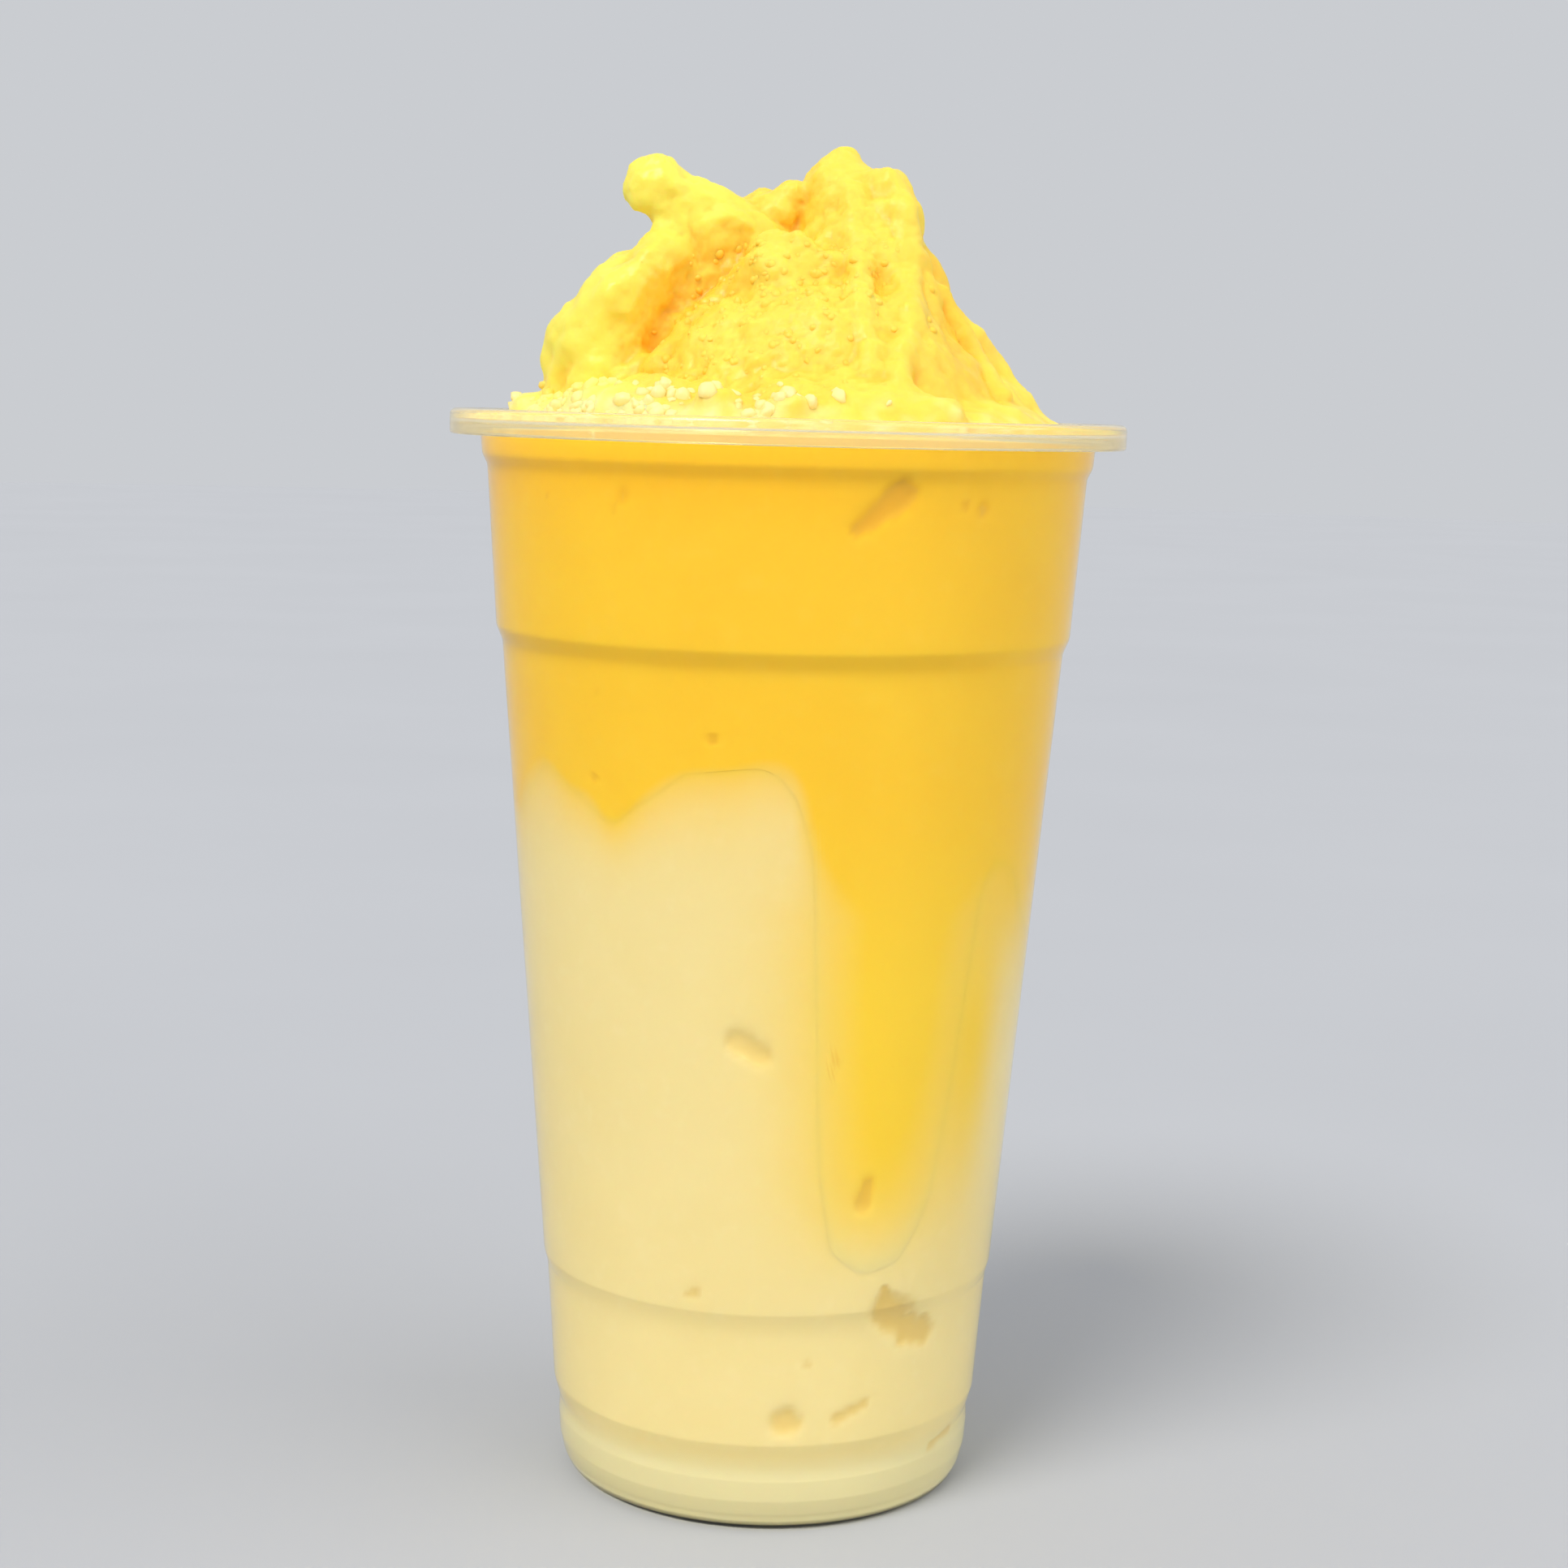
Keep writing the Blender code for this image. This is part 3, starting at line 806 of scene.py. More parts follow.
def add_washes(grid):
    """Thin films of mango over the cream, each with its middle, reach and share."""
    sides = np.arange(MAP_COLUMNS) * 360 / MAP_COLUMNS
    heights = np.arange(MAP_ROWS)[:, None] * cell_up / MM
    for _, side, level, width, depth, share in WASHES:
        across = ((sides - side + 180) % 360 - 180) / width
        film = share * np.exp(-(across**2) - ((heights - level) / depth) ** 2)
        grid = grid + (1 - grid) * film
    return grid


def build_wall_map():
    fine = blurred(stirred_step(0), FINE_BLUR / cell_across, FINE_BLUR / cell_up)
    fine = bled(fine, BLEED / cell_up)
    soft = blurred(stirred_step(SOFT_LIFT), SOFT_BLUR[0] / cell_across, SOFT_BLUR[1] / cell_up)
    heights = np.arange(MAP_ROWS)[:, None] * cell_up
    low, high = FINE_ABOVE
    share = np.clip((heights - low) / (high - low), 0, 1)
    both = soft + (fine - soft) * share
    return np.clip(add_washes(both) * FULL_SHARE, 0, 1)


wall_map = build_wall_map()


def mango_share(azimuth, height):
    """How much mango there is at points of the wall, from the map, between its cells."""
    column = (np.asarray(azimuth) % 360) / 360 * MAP_COLUMNS
    row = np.clip(np.asarray(height) / RIM_HEIGHT * (MAP_ROWS - 1), 0, MAP_ROWS - 1.001)
    c0, r0 = np.floor(column).astype(int) % MAP_COLUMNS, np.floor(row).astype(int)
    fc, fr = column - np.floor(column), row - r0
    c1, r1 = (c0 + 1) % MAP_COLUMNS, r0 + 1
    low = wall_map[r0, c0] * (1 - fc) + wall_map[r0, c1] * fc
    high = wall_map[r1, c0] * (1 - fc) + wall_map[r1, c1] * fc
    return low * (1 - fr) + high * fr


print("mango share at the front, 60 and 120 mm up:", mango_share([0, 0], [0.06, 0.12]).round(2))

# %% [markdown]
# ## Air pockets
#
# Where a bubble of air sits against the plastic, the pulp stands back from the wall. Each pocket in
# the list is a rope between two discs on the wall, so it can be a round dot, a bar or a drop. A disc
# is its side in degrees, its height and its radius in millimetres. The last number is how much
# shade is painted into the pocket, and noise makes its edge uneven. The mesh of the drink is pushed
# inwards there, and the same share goes into the pocket mask that paints the shade. The larger ones
# match dents in the packed solids, and the specks are only here.

# %% The pockets, and how deep the wall of the drink is pushed in
POCKETS = (
    ("long bubble", (12.9, 139.5, 1.0), (20.8, 144.0, 2.0), 0.75),
    ("right dot", (38.1, 142.2, 1.0), (38.1, 142.2, 1.0), 0.5),
    ("right speck", (34.0, 142.7, 0.65), (34.0, 142.7, 0.65), 0.5),
    ("left dot", (-30.4, 143.1, 0.8), (-30.6, 142.6, 0.8), 0.4),
    ("left speck", (-32.7, 141.1, 0.5), (-32.7, 141.1, 0.5), 0.35),
    ("far left speck", (-49.5, 142.3, 0.5), (-49.5, 142.3, 0.5), 0.35),
    ("middle bubble", (-7.5, 71.0, 1.7), (-2.6, 69.3, 1.5), 0.42),
    ("tongue bubble", (23.6, 51.0, 0.9), (22.3, 48.2, 1.3), 0.55),
    ("tongue speck", (14.1, 68.8, 0.6), (14.1, 68.8, 0.6), 0.4),
    ("tongue dot", (13.1, 67.0, 0.35), (13.1, 67.0, 0.35), 0.4),
    ("patch", (30.8, 32.2, 2.1), (34.6, 30.8, 2.5), 0.78),
    ("patch end", (38.4, 28.6, 2.2), (44.6, 27.4, 1.9), 0.78),
    ("patch tip", (30.2, 35.2, 0.7), (31.2, 33.0, 1.6), 0.78),
    ("low bubble", (5.7, 16.8, 2.0), (6.2, 16.6, 1.9), 0.6),
    ("low sliver", (19.4, 16.8, 0.9), (27.0, 18.6, 0.6), 0.55),
    ("low speck", (11.0, 25.2, 0.65), (11.0, 25.2, 0.65), 0.4),
    ("left low speck", (-17.4, 35.0, 0.8), (-19.0, 34.8, 0.5), 0.5),
    ("foot smear", (53.0, 8.8, 0.5), (64.0, 9.8, 0.6), 0.5),
    ("high speck", (-13.3, 111.7, 0.7), (-13.3, 111.7, 0.7), 0.55),
    ("lobe speck", (-40.2, 105.2, 0.6), (-40.2, 105.2, 0.6), 0.4),
    ("shoulder speck", (-38.4, 117.0, 0.4), (-38.4, 117.0, 0.4), 0.3),
)
POCKET_DEPTH = 0.32 * MM
FULL_DEPTH_RADIUS = 1.6
POCKET_EDGE = 0.95
POCKET_WOBBLE = 0.3
WOBBLE_SCALE = 0.7


def pocket_shade_and_depth(azimuth, height):
    """How much painted shade each point of the wall gets from a pocket, and how far it is pushed in.
    """
    share, depth = np.zeros(len(azimuth)), np.zeros(len(azimuth))
    for _, (side, level, radius), (far_side, far_level, far_radius), tint in POCKETS:
        around = wall_radius(level * MM) / MM
        across = np.radians((azimuth - side + 180) % 360 - 180) * around
        up = height / MM - level
        run = Vector((math.radians(far_side - side) * around, far_level - level))
        reach = radius + far_radius + run.length + 1
        near = np.flatnonzero(np.hypot(across, up) < reach)
        if not len(near):
            continue
        along = (across[near] * run.x + up[near] * run.y) / max(run.length_squared, 1e-6)
        along = np.clip(along, 0, 1)
        away = np.hypot(across[near] - along * run.x, up[near] - along * run.y)
        size = radius + (far_radius - radius) * along
        places = [Vector((a, u, side)) * WOBBLE_SCALE for a, u in zip(across[near], up[near])]
        wobble = np.array([noise.noise(place) for place in places])
        inward = np.clip((1 + POCKET_WOBBLE * wobble - away / size) / POCKET_EDGE + 0.5, 0, 1)
        inward = inward * inward * (3 - 2 * inward)
        # The share, times the pocket's strength, is the painted shade.
        share[near] = np.maximum(share[near], inward * tint)
        push = inward * POCKET_DEPTH * np.minimum(1, size / FULL_DEPTH_RADIUS)
        depth[near] = np.maximum(depth[near], push)
    return share, depth


print("pockets:", len(POCKETS))

# %% [markdown]
# ## The drink behind the wall
#
# Each layer is a closed skin of rings. The cream starts at the floor, goes down into its groove and
# up to the layer line. The mango starts there and ends under the rim. Both share the curved surface
# between them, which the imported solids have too. Near the foot and the rim the rings are level, and
# between those heights they spread out to follow the line. Each ring reaches just into the plastic,
# so that no air gap shows.

# %% Build rings into a closed skin
DRINK_SIDES = 400
ROW_STEP = 0.75 * MM
CORE_SHARES = (0.94, 0.85, 0.7, 0.45, 0.2)
LEVEL_BELOW = 34 * MM
LEVEL_ABOVE = 116 * MM
CREASE = math.radians(50)
drink_turns = np.arange(DRINK_SIDES) * 360 / DRINK_SIDES
line_here = layer_height(drink_turns)


def round_ring(radius, height):
    """One ring of points, with a radius and height that may change from side to side."""
    turns = np.radians(drink_turns)
    heights = np.broadcast_to(height, turns.shape)
    return np.stack([radius * np.sin(turns), -radius * np.cos(turns), heights], axis=1)


def wall_ring(height):
    heights = np.broadcast_to(height, drink_turns.shape)
    _, depth = pocket_shade_and_depth(drink_turns, heights)
    return round_ring(wall_radius(heights) - depth, heights)


def core_ring(share):
    """A ring of the surface between the layers, which levels out towards the middle."""
    height = core_height + (line_here - core_height) * share**3
    return round_ring(wall_radius(line_here) * share, height)


def level_heights(low, high):
    """Even steps between two heights, and every bend of the wall."""
    bends = wall_heights[(wall_heights > low) & (wall_heights < high)]
    steps = [h for h in np.arange(low, high, ROW_STEP) if abs(bends - h).min() > ROW_STEP / 4]
    return np.sort(np.concatenate([steps, bends]))


def spread_rows(low, high):
    """Rings that share out the room between two heights, which may change from side to side."""
    rows = int(np.max(high - low) / ROW_STEP)
    return [wall_ring(low + (high - low) * row / rows) for row in range(rows + 1)]


def skin_of(name, rings, low_pole, high_pole):
    """A closed mesh over a stack of rings with a pole at each end, and its two masks."""
    count = DRINK_SIDES
    points = np.concatenate(rings + [np.array([low_pole]), np.array([high_pole])])
    low, high = len(points) - 2, len(points) - 1
    side = np.arange(count)
    after = (side + 1) % count
    faces = [(low, int(b), int(a)) for a, b in zip(side, after)]
    for row in range(len(rings) - 1):
        base = row * count
        quads = np.stack([base + side, base + after, base + count + after, base + count + side], 1)
        faces += [tuple(int(i) for i in quad) for quad in quads]
    top = (len(rings) - 1) * count
    faces += [(high, int(top + a), int(top + b)) for a, b in zip(side, after)]
    mesh = mesh_of(name, points, faces)
    sides = np.degrees(np.arctan2(points[:, 0], -points[:, 1]))
    pockets, _ = pocket_shade_and_depth(sides, points[:, 2])
    write_marks(mesh, {"mango": mango_share(sides, points[:, 2]), "pocket": pockets})
    mesh.shade_smooth()
    mesh.set_sharp_from_angle(angle=CREASE)
    return add_piece(name, mesh, SMOOTHIE)


# %% Build the cream and the mango
DRINK_LEVEL = RIM_HEIGHT - 2.0 * MM
DRINK_TOP = ((0.97, 0), (0.8, 1.0 * MM))
DRINK_MIDDLE = 1.5 * MM


def build_cream():
    floor = [round_ring(point.x, point.y - WALL_REACH) for point in FLOOR_LINE[1:]]
    level = [wall_ring(height) for height in level_heights(wall_heights[0], LEVEL_BELOW)]
    climb = spread_rows(LEVEL_BELOW, line_here)
    top = [core_ring(share) for share in CORE_SHARES]
    low_pole = (0, 0, FLOOR_LINE[0].y - WALL_REACH)
    return skin_of("cream_fill", floor + level + climb + top, low_pole, (0, 0, core_height))


def build_mango():
    base = [core_ring(share) for share in reversed(CORE_SHARES)]
    climb = spread_rows(line_here, LEVEL_ABOVE)
    level = [wall_ring(height) for height in level_heights(LEVEL_ABOVE + ROW_STEP, DRINK_LEVEL)]
    edge = wall_radius(DRINK_LEVEL)
    top = [wall_ring(DRINK_LEVEL)]
    top += [round_ring(edge * share, DRINK_LEVEL - drop) for share, drop in DRINK_TOP]
    high_pole = (0, 0, DRINK_LEVEL - DRINK_MIDDLE)
    return skin_of("mango_fill", base + climb + level + top, (0, 0, core_height), high_pole)


cream_fill = build_cream()
dress(cream_fill, "cream_layer")
mango_fill = build_mango()
dress(mango_fill, "mango_slush")

# %% [markdown]
# ## The finish of the heap
#
# In the light the heap is lemon yellow, and in its hollows it is a deep orange, because light that
# bounces about inside wet fruit ice loses its blue and then its green. Subsurface light does part of
# this, with a reach that is longest for red. The mesh of the heap carries three numbers for the rest:
# one that paints shade, high in creases, one that paints light on the lobe and finger on the left,
# and pale, where ice has gathered near the rim. The shader mixes its colours by them over the clouds
# of pulp. Loose grains are smaller than that reach, and would turn green, so theirs is left out.

# %% Slush
SLUSH = srgb(254, 221, 84)
# The deep orange of the pulp clouds, and also the painted shade in the creases.
SLUSH_DEEP_AND_SHADE = srgb(251, 188, 38)
SLUSH_RIDGE = srgb(255, 229, 116)
# Painted light on the left lobe and finger.
SLUSH_PAINTED_LIGHT = srgb(255, 238, 98)
ICE = srgb(255, 236, 160)
ICE_DEEP = srgb(254, 224, 116)
ICE_PALE = srgb(255, 243, 200)


def slush_material(name, base, deep, ridge, glow):
    made, tree, output, where = new_material(name)
    hollow, pale, lemon = marks_of(tree, "hollow", "pale", "lemon")
    pulp = use_group(tree, PULP, {
        "Place": where, "Colour": base, "Deep": deep, "Pale": ridge,
        "Size": 130.0, "Depth": 0.35,
    })
    surface = use_group(tree, CRYSTALS, {"Place": where, "Size": 900.0, "Dry": 0.62, "Wet": 0.36})
    # Painted light on the left lobe and finger, then painted shade in the creases.
    bright = mix_colour(tree, lemon, pulp["Colour"], SLUSH_PAINTED_LIGHT)
    with_painted_shade = mix_colour(tree, hollow, bright, SLUSH_DEEP_AND_SHADE)
    colour = mix_colour(tree, pale, with_painted_shade, ICE)
    bump = add_node(tree, "ShaderNodeBump", {
        "Height": surface["Height"], "Strength": 0.32, "Distance": 0.25 * MM,
    })
    shader = add_node(tree, "ShaderNodeBsdfPrincipled", {
        "Base Color": colour, "Roughness": surface["Roughness"], "Normal": bump.outputs[0],
        "Subsurface Weight": glow, "Subsurface Radius": (1.0, 0.42, 0.15),
        "Subsurface Scale": 2.2 * MM, "Specular IOR Level": 0.35,
    })
    tree.links.new(shader.outputs[0], output.inputs["Surface"])
    return made


SLUSH_FINISH = slush_material("slush", SLUSH, SLUSH_DEEP_AND_SHADE, SLUSH_RIDGE, glow=0.7)
GRAIN_FINISH = slush_material("slush grains", SLUSH, SLUSH_DEEP_AND_SHADE, SLUSH_RIDGE, glow=0.0)
ICE_FINISH = slush_material("pale ice", ICE, ICE_DEEP, ICE_PALE, glow=0.0)
print("materials:", SLUSH_FINISH.name, GRAIN_FINISH.name, ICE_FINISH.name)

# %% [markdown]
# ## The heap
#
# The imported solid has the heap's lobes, finger and peak, cut down to few faces. A fine surface grows
# from it in four steps. The part above the rim is cut off. Strokes of slush are laid on it, as a
# sculptor adds rolls of clay: flutes that run down from the peak and the ear, the lumpy edge of the
# front dome, and a filling low in the valley behind it. A voxel remesh melts all of it into one skin
# of even, small squares, and smoothing takes the facets off. Then noise pushes the surface out and
# in along its own normals: soft folds and lumps everywhere, fine flutes below the peak on the right,
# where the slush was drawn off, and grit on the front dome, where it has crumbled. Each of the three
# reliefs is a scale per millimetre, a depth in millimetres, a count of octaves and a seed.

# %% The strokes, each a chain of balls: across, back and above the rim, and the radius, in mm
STROKES = (
    ("valley filling", (-26.0, -8.0, 3.5, 5.2), (-24.4, -7.6, 9.0, 4.6), (-21.4, -7.0, 13.0, 3.6)),
    ("valley foot", (-22.5, -9.5, 2.5, 4.5), (-20.6, -9.4, 5.0, 3.7)),
    ("dome edge", (-5.0, -7.8, 19.6, 2.7), (-9.4, -7.6, 15.4, 2.7), (-12.9, -9.6, 10.8, 2.9),
     (-17.4, -12.8, 6.0, 3.1)),
    ("ridge bump", (-0.8, 2.0, 30.3, 2.7), (-2.4, 1.6, 28.6, 2.8)),
    ("collar", (-3.2, -6.6, 22.4, 2.7), (1.0, -9.6, 22.4, 2.5), (4.8, -10.9, 20.6, 2.2)),
    ("peak flute", (8.2, -2.4, 30.4, 2.6), (9.4, -8.2, 23.0, 2.2), (9.5, -19.9, 13.6, 2.2),
     (10.2, -26.8, 5.2, 2.4)),
    ("ear", (14.6, -3.6, 27.8, 3.4), (15.2, -4.6, 25.4, 3.0)),
    ("ear flute", (15.2, -4.8, 26.4, 2.6), (15.7, -8.6, 20.2, 2.2), (16.0, -17.9, 12.4, 2.1),
     (13.9, -27.0, 4.9, 2.3)),
    ("slope rib", (20.5, -6.6, 17.4, 1.6), (25.4, -7.6, 8.6, 1.6), (28.4, -11.4, 3.6, 1.8)),
)
BALL_STEP = 0.45


def lay_strokes(bm):
    for _, *knots in STROKES:
        for start, end in zip(knots, knots[1:]):
            first, last = Vector(start[:3]), Vector(end[:3])
            count = max(1, round((last - first).length / (BALL_STEP * min(start[3], end[3]))))
            for step in range(count + 1):
                share = step / count
                radius = (start[3] + (end[3] - start[3]) * share) * MM
                place = first.lerp(last, share) * MM + Vector((0, 0, RIM_HEIGHT))
                bmesh.ops.create_icosphere(
                    bm, subdivisions=2, radius=radius, matrix=Matrix.Translation(place)
                )


print("strokes:", len(STROKES))

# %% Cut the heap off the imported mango, lay the strokes on it and remesh it
HEAP_CUT = RIM_HEIGHT - 3.6 * MM
HEAP_VOXEL = 0.5 * MM
MELTING = 7


def cut_heap():
    bm = merged_copy("mango_slush")
    geometry = bm.verts[:] + bm.edges[:] + bm.faces[:]
    cut = bmesh.ops.bisect_plane(
        bm, geom=geometry, plane_co=(0, 0, HEAP_CUT), plane_no=(0, 0, 1), clear_inner=True,
    )
    rim = [item for item in cut["geom_cut"] if isinstance(item, bmesh.types.BMEdge)]
    bmesh.ops.contextual_create(bm, geom=rim)
    bmesh.ops.recalc_face_normals(bm, faces=bm.faces)
    lay_strokes(bm)
    heap = add_piece("slush_heap", mesh_from("slush_heap", bm))
    even = heap.modifiers.new("even", "REMESH")
    even.mode = "VOXEL"
    even.voxel_size = HEAP_VOXEL
    melt = heap.modifiers.new("melt", "SMOOTH")
    melt.factor = 0.5
    melt.iterations = MELTING
    bake_modifiers(heap)
    return heap


slush_heap = cut_heap()
print("heap remeshed:", len(slush_heap.data.vertices), "points")


# %% Read points, normals and edges as arrays
def points_of(mesh):
    points = np.empty(len(mesh.vertices) * 3)
    mesh.vertices.foreach_get("co", points)
    return points.reshape(-1, 3)


def normals_of(mesh):
    normals = np.empty(len(mesh.vertices) * 3, np.float32)
    mesh.vertex_normals.foreach_get("vector", normals)
    return normals.reshape(-1, 3).astype(float)


def neighbour_mean(mesh, values, rounds):
    """Values averaged again and again with those of the neighbouring points."""
    edges = np.empty(len(mesh.edges) * 2, int)
    mesh.edges.foreach_get("vertices", edges)
    first, second = edges.reshape(-1, 2).T
    count = np.bincount(first, minlength=len(values)) + np.bincount(second, minlength=len(values))
    for _ in range(rounds):
        total = np.zeros_like(values)
        for axis in range(values.shape[1]):
            total[:, axis] = np.bincount(first, values[second, axis], len(values))
            total[:, axis] += np.bincount(second, values[first, axis], len(values))
        values = 0.5 * values + 0.5 * total / count[:, None]
    return values


# %% Push folds, flutes and grit into the heap
FOLDS = (0.17, 0.7, 2, 3)
LUMPS = (0.42, 0.26, 2, 4)
GRIT = (1.15, 0.15, 2, 5)
PEAK = (9 * MM, 2 * MM)
FLUTE_COUNT = 3.4
FLUTE_DRIFT = 0.035
FLUTE_DEPTH = 0.75 * MM
FLUTE_SIDES = (-25, 150)
FLUTE_FADES = (0.4, 0.6)
FLUTE_START = 7 * MM
CRUMBLED = ((-2 * MM, -14 * MM), 17 * MM)
SMOOTH_SHARE = 0.45
RIM_SHARE = 0.15
RIM_GAP = 0.4 * MM


def relief(points, scale, depth, octaves, seed):
    offset = Vector((seed, seed * 0.7, -seed))
    return np.array([
        noise.fractal(Vector(point) / MM * scale + offset, 0.9, FINER_BY, octaves)
        for point in points
    ]) * depth * MM


def flutes(points):
    """Long soft ridges that fan out below the peak, on its right side."""
    x, y = points[:, 0] - PEAK[0], points[:, 1] - PEAK[1]
    side = np.arctan2(x, -y)
    low, high = np.radians(FLUTE_SIDES)
    first, last = FLUTE_FADES
    where = np.clip((side - low) / first, 0, 1) * np.clip((high - side) / last, 0, 1)
    where = where * np.clip(np.hypot(x, y) / FLUTE_START - 0.4, 0, 1)
    ridges = [
        noise.noise(Vector((turn * FLUTE_COUNT, height / MM * FLUTE_DRIFT, 4)))
        for turn, height in zip(side, points[:, 2])
    ]
    return np.array(ridges) * where * FLUTE_DEPTH


def roughen_heap(heap):
    """Pushes the heap's surface out and in, least near the rim, and keeps it inside the mouth."""
    mesh = heap.data
    points, normals = points_of(mesh), normals_of(mesh)
    fade = np.clip((points[:, 2] - RIM_HEIGHT + 1.0 * MM) / (3 * MM), RIM_SHARE, 1)
    centre, reach = CRUMBLED
    away = np.hypot(points[:, 0] - centre[0], points[:, 1] - centre[1])
    crumbled = SMOOTH_SHARE + np.clip(1.6 - away / reach, 0, 1)
    moved = relief(points, *FOLDS) + relief(points, *LUMPS) * crumbled
    moved = moved + relief(points, *GRIT) * crumbled + flutes(points)
    points = points + normals * (moved * fade)[:, None]
    reach = wall_radius(RIM_HEIGHT - 2 * MM) - RIM_GAP
    radius = np.hypot(points[:, 0], points[:, 1])
    inside = (points[:, 2] < RIM_HEIGHT + 0.2 * MM) & (radius > reach)
    points[inside, :2] *= (reach / radius[inside])[:, None]
    points[:, 2] = np.minimum(points[:, 2], CAD_BOX[1][2])
    mesh.vertices.foreach_set("co", points.ravel())
    mesh.update()


roughen_heap(slush_heap)

# %% [markdown]
# ## Marks on the heap
#
# The marks could be painted by hand, but rules are easier to change. A point that lies under its own
# smoothed surface is in a hollow and gets painted shade, and three amounts of smoothing find the
# creases, the folds and the valley. Two strokes add painted shade over the valley and the right slope.
# Light is painted on the lobe and finger on the left. Pale ice and crumbs gather in a ring near the
# rim, most of all on the left, and grains lie on the front dome.

# %% Where the heap is hollow, and takes painted shade
PAINTED_SHADE_SIZES = ((14, 0.4 * MM), (60, 1.2 * MM), (200, 2.6 * MM))
PAINTED_SHADE_GAIN = 0.42
RIDGE_LIMIT = -0.4
# Strokes of painted shade over the valley and the right slope.
SHADED = (
    ("valley", (-19.0, 9.0), (-9.0, 20.0), 3.0, 0.42),
    ("right slope", (20.5, 19.0), (24.5, 6.0), 3.4, 0.5),
)
SHADED_BACK = 10 * MM
SHADED_FADE = 6 * MM


def shaded(points):
    """The two strokes of painted shade, seen from the front: ends across and above the rim, reach and
    strength.
    """
    across, up = points[:, 0] / MM, (points[:, 2] - RIM_HEIGHT) / MM
    amount = np.zeros(len(points))
    for _, start, end, reach, strength in SHADED:
        run = np.subtract(end, start)
        along = ((across - start[0]) * run[0] + (up - start[1]) * run[1]) / (run @ run)
        along = np.clip(along, 0, 1)
        away = np.hypot(across - start[0] - along * run[0], up - start[1] - along * run[1])
        amount = np.maximum(amount, strength * np.exp(-((away / reach) ** 2)))
    return amount * np.clip((SHADED_BACK - points[:, 1]) / SHADED_FADE, 0, 1)


def painted_shade_mark(mesh, points, normals):
    """Painted shade: how far each point lies under its smoothed surface, and the strokes on top."""
    hollow = np.zeros(len(points))
    for rounds, depth in PAINTED_SHADE_SIZES:
        inward = ((neighbour_mean(mesh, points, rounds) - points) * normals).sum(1)
        hollow += np.clip(inward / depth, RIDGE_LIMIT, 1)
    return np.clip(np.clip(hollow * PAINTED_SHADE_GAIN, 0, 1) + shaded(points), 0, 1)


print("shaded strokes:", [name for name, *_ in SHADED])

# %% Where pale ice, crumbs and grains lie, and where light is painted on the heap
SPECK_SCALE = 0.4
PALE_RING = 34.5 * MM
PALE_WIDTH = 4 * MM
PALE_LEVEL = 1.5 * MM
PALE_BAND = 3.5 * MM
PALE_MIDDLE = -50
PALE_REACH = 70
CRUMB_RING = (30 * MM, 33 * MM)
CRUMB_BAND = (3.0 * MM, 5.0 * MM)
CRUMB_MIDDLE = -48
CRUMB_REACH = 42
GRAIN_REACH = 20 * MM
GRAIN_LEVELS = (0.5 * MM, 24 * MM)
LOBE_START, LOBE_WIDTH = 18, 8
FINGER_START, FINGER_WIDTH = 6, 6
FINGER_LEVEL, FINGER_BAND = 23, 4
PAINTED_LIGHT_SHARE = 0.7


def rim_marks(points, normals):
    """Pale ice and loose crumbs, both in a ring near the rim and both stronger on the left."""
    radius, up = np.hypot(points[:, 0], points[:, 1]), points[:, 2] - RIM_HEIGHT
    side = np.degrees(np.arctan2(points[:, 0], -points[:, 1]))
    specks = np.array([noise.noise(Vector(point) / MM * SPECK_SCALE) for point in points])
    ring = np.clip((radius - PALE_RING) / PALE_WIDTH, 0, 1)
    ring *= np.clip(1 - (up - PALE_LEVEL) / PALE_BAND, 0, 1)
    left = np.clip(1 - np.abs((side - PALE_MIDDLE + 180) % 360 - 180) / PALE_REACH, 0, 1)
    pale = ring * np.clip(0.15 + 0.8 * left + 0.8 * specks, 0, 1)
    band = np.clip((radius - CRUMB_RING[0]) / (CRUMB_RING[1] - CRUMB_RING[0]), 0, 1)
    band *= np.clip((CRUMB_BAND[1] - up) / (CRUMB_BAND[1] - CRUMB_BAND[0]), 0, 1)
    upward = np.clip(normals[:, 2] * 2, 0, 1)
    clusters = np.clip(0.35 + 1.8 * specks, 0.1, 1)
    crumbs = band * upward * clusters * np.exp(-(((side - CRUMB_MIDDLE) / CRUMB_REACH) ** 2))
    return pale, crumbs


def grain_mark(points):
    (x, y), up = CRUMBLED[0], points[:, 2] - RIM_HEIGHT
    low, high = GRAIN_LEVELS
    away = np.hypot(points[:, 0] - x, points[:, 1] - y)
    return np.clip(1.15 - away / GRAIN_REACH, 0, 1) * (up > low) * (up < high)


def painted_light_mark(points):
    """Painted light on the lobe and finger, by how far they are to the left and above the rim."""
    across, up = -points[:, 0] / MM, (points[:, 2] - RIM_HEIGHT) / MM
    lobe = np.clip((across - LOBE_START) / LOBE_WIDTH, 0, 1)
    finger = np.clip((across - FINGER_START) / FINGER_WIDTH, 0, 1)
    finger = finger * np.clip((up - FINGER_LEVEL) / FINGER_BAND, 0, 1)
    return PAINTED_LIGHT_SHARE * np.maximum(lobe, finger)


# %% Write the marks on the heap and dress it
def mark_heap(heap):
    mesh = heap.data
    points, normals = points_of(mesh), normals_of(mesh)
    pale, crumbs = rim_marks(points, normals)
    write_marks(mesh, {
        "hollow": painted_shade_mark(mesh, points, normals), "pale": pale, "lemon": painted_light_mark(points),
        "crumbs": crumbs, "grains": grain_mark(points),
    })
    mesh.shade_smooth()


mark_heap(slush_heap)
slush_heap.data.materials.append(SLUSH_FINISH)
dress(slush_heap, "mango_slush")

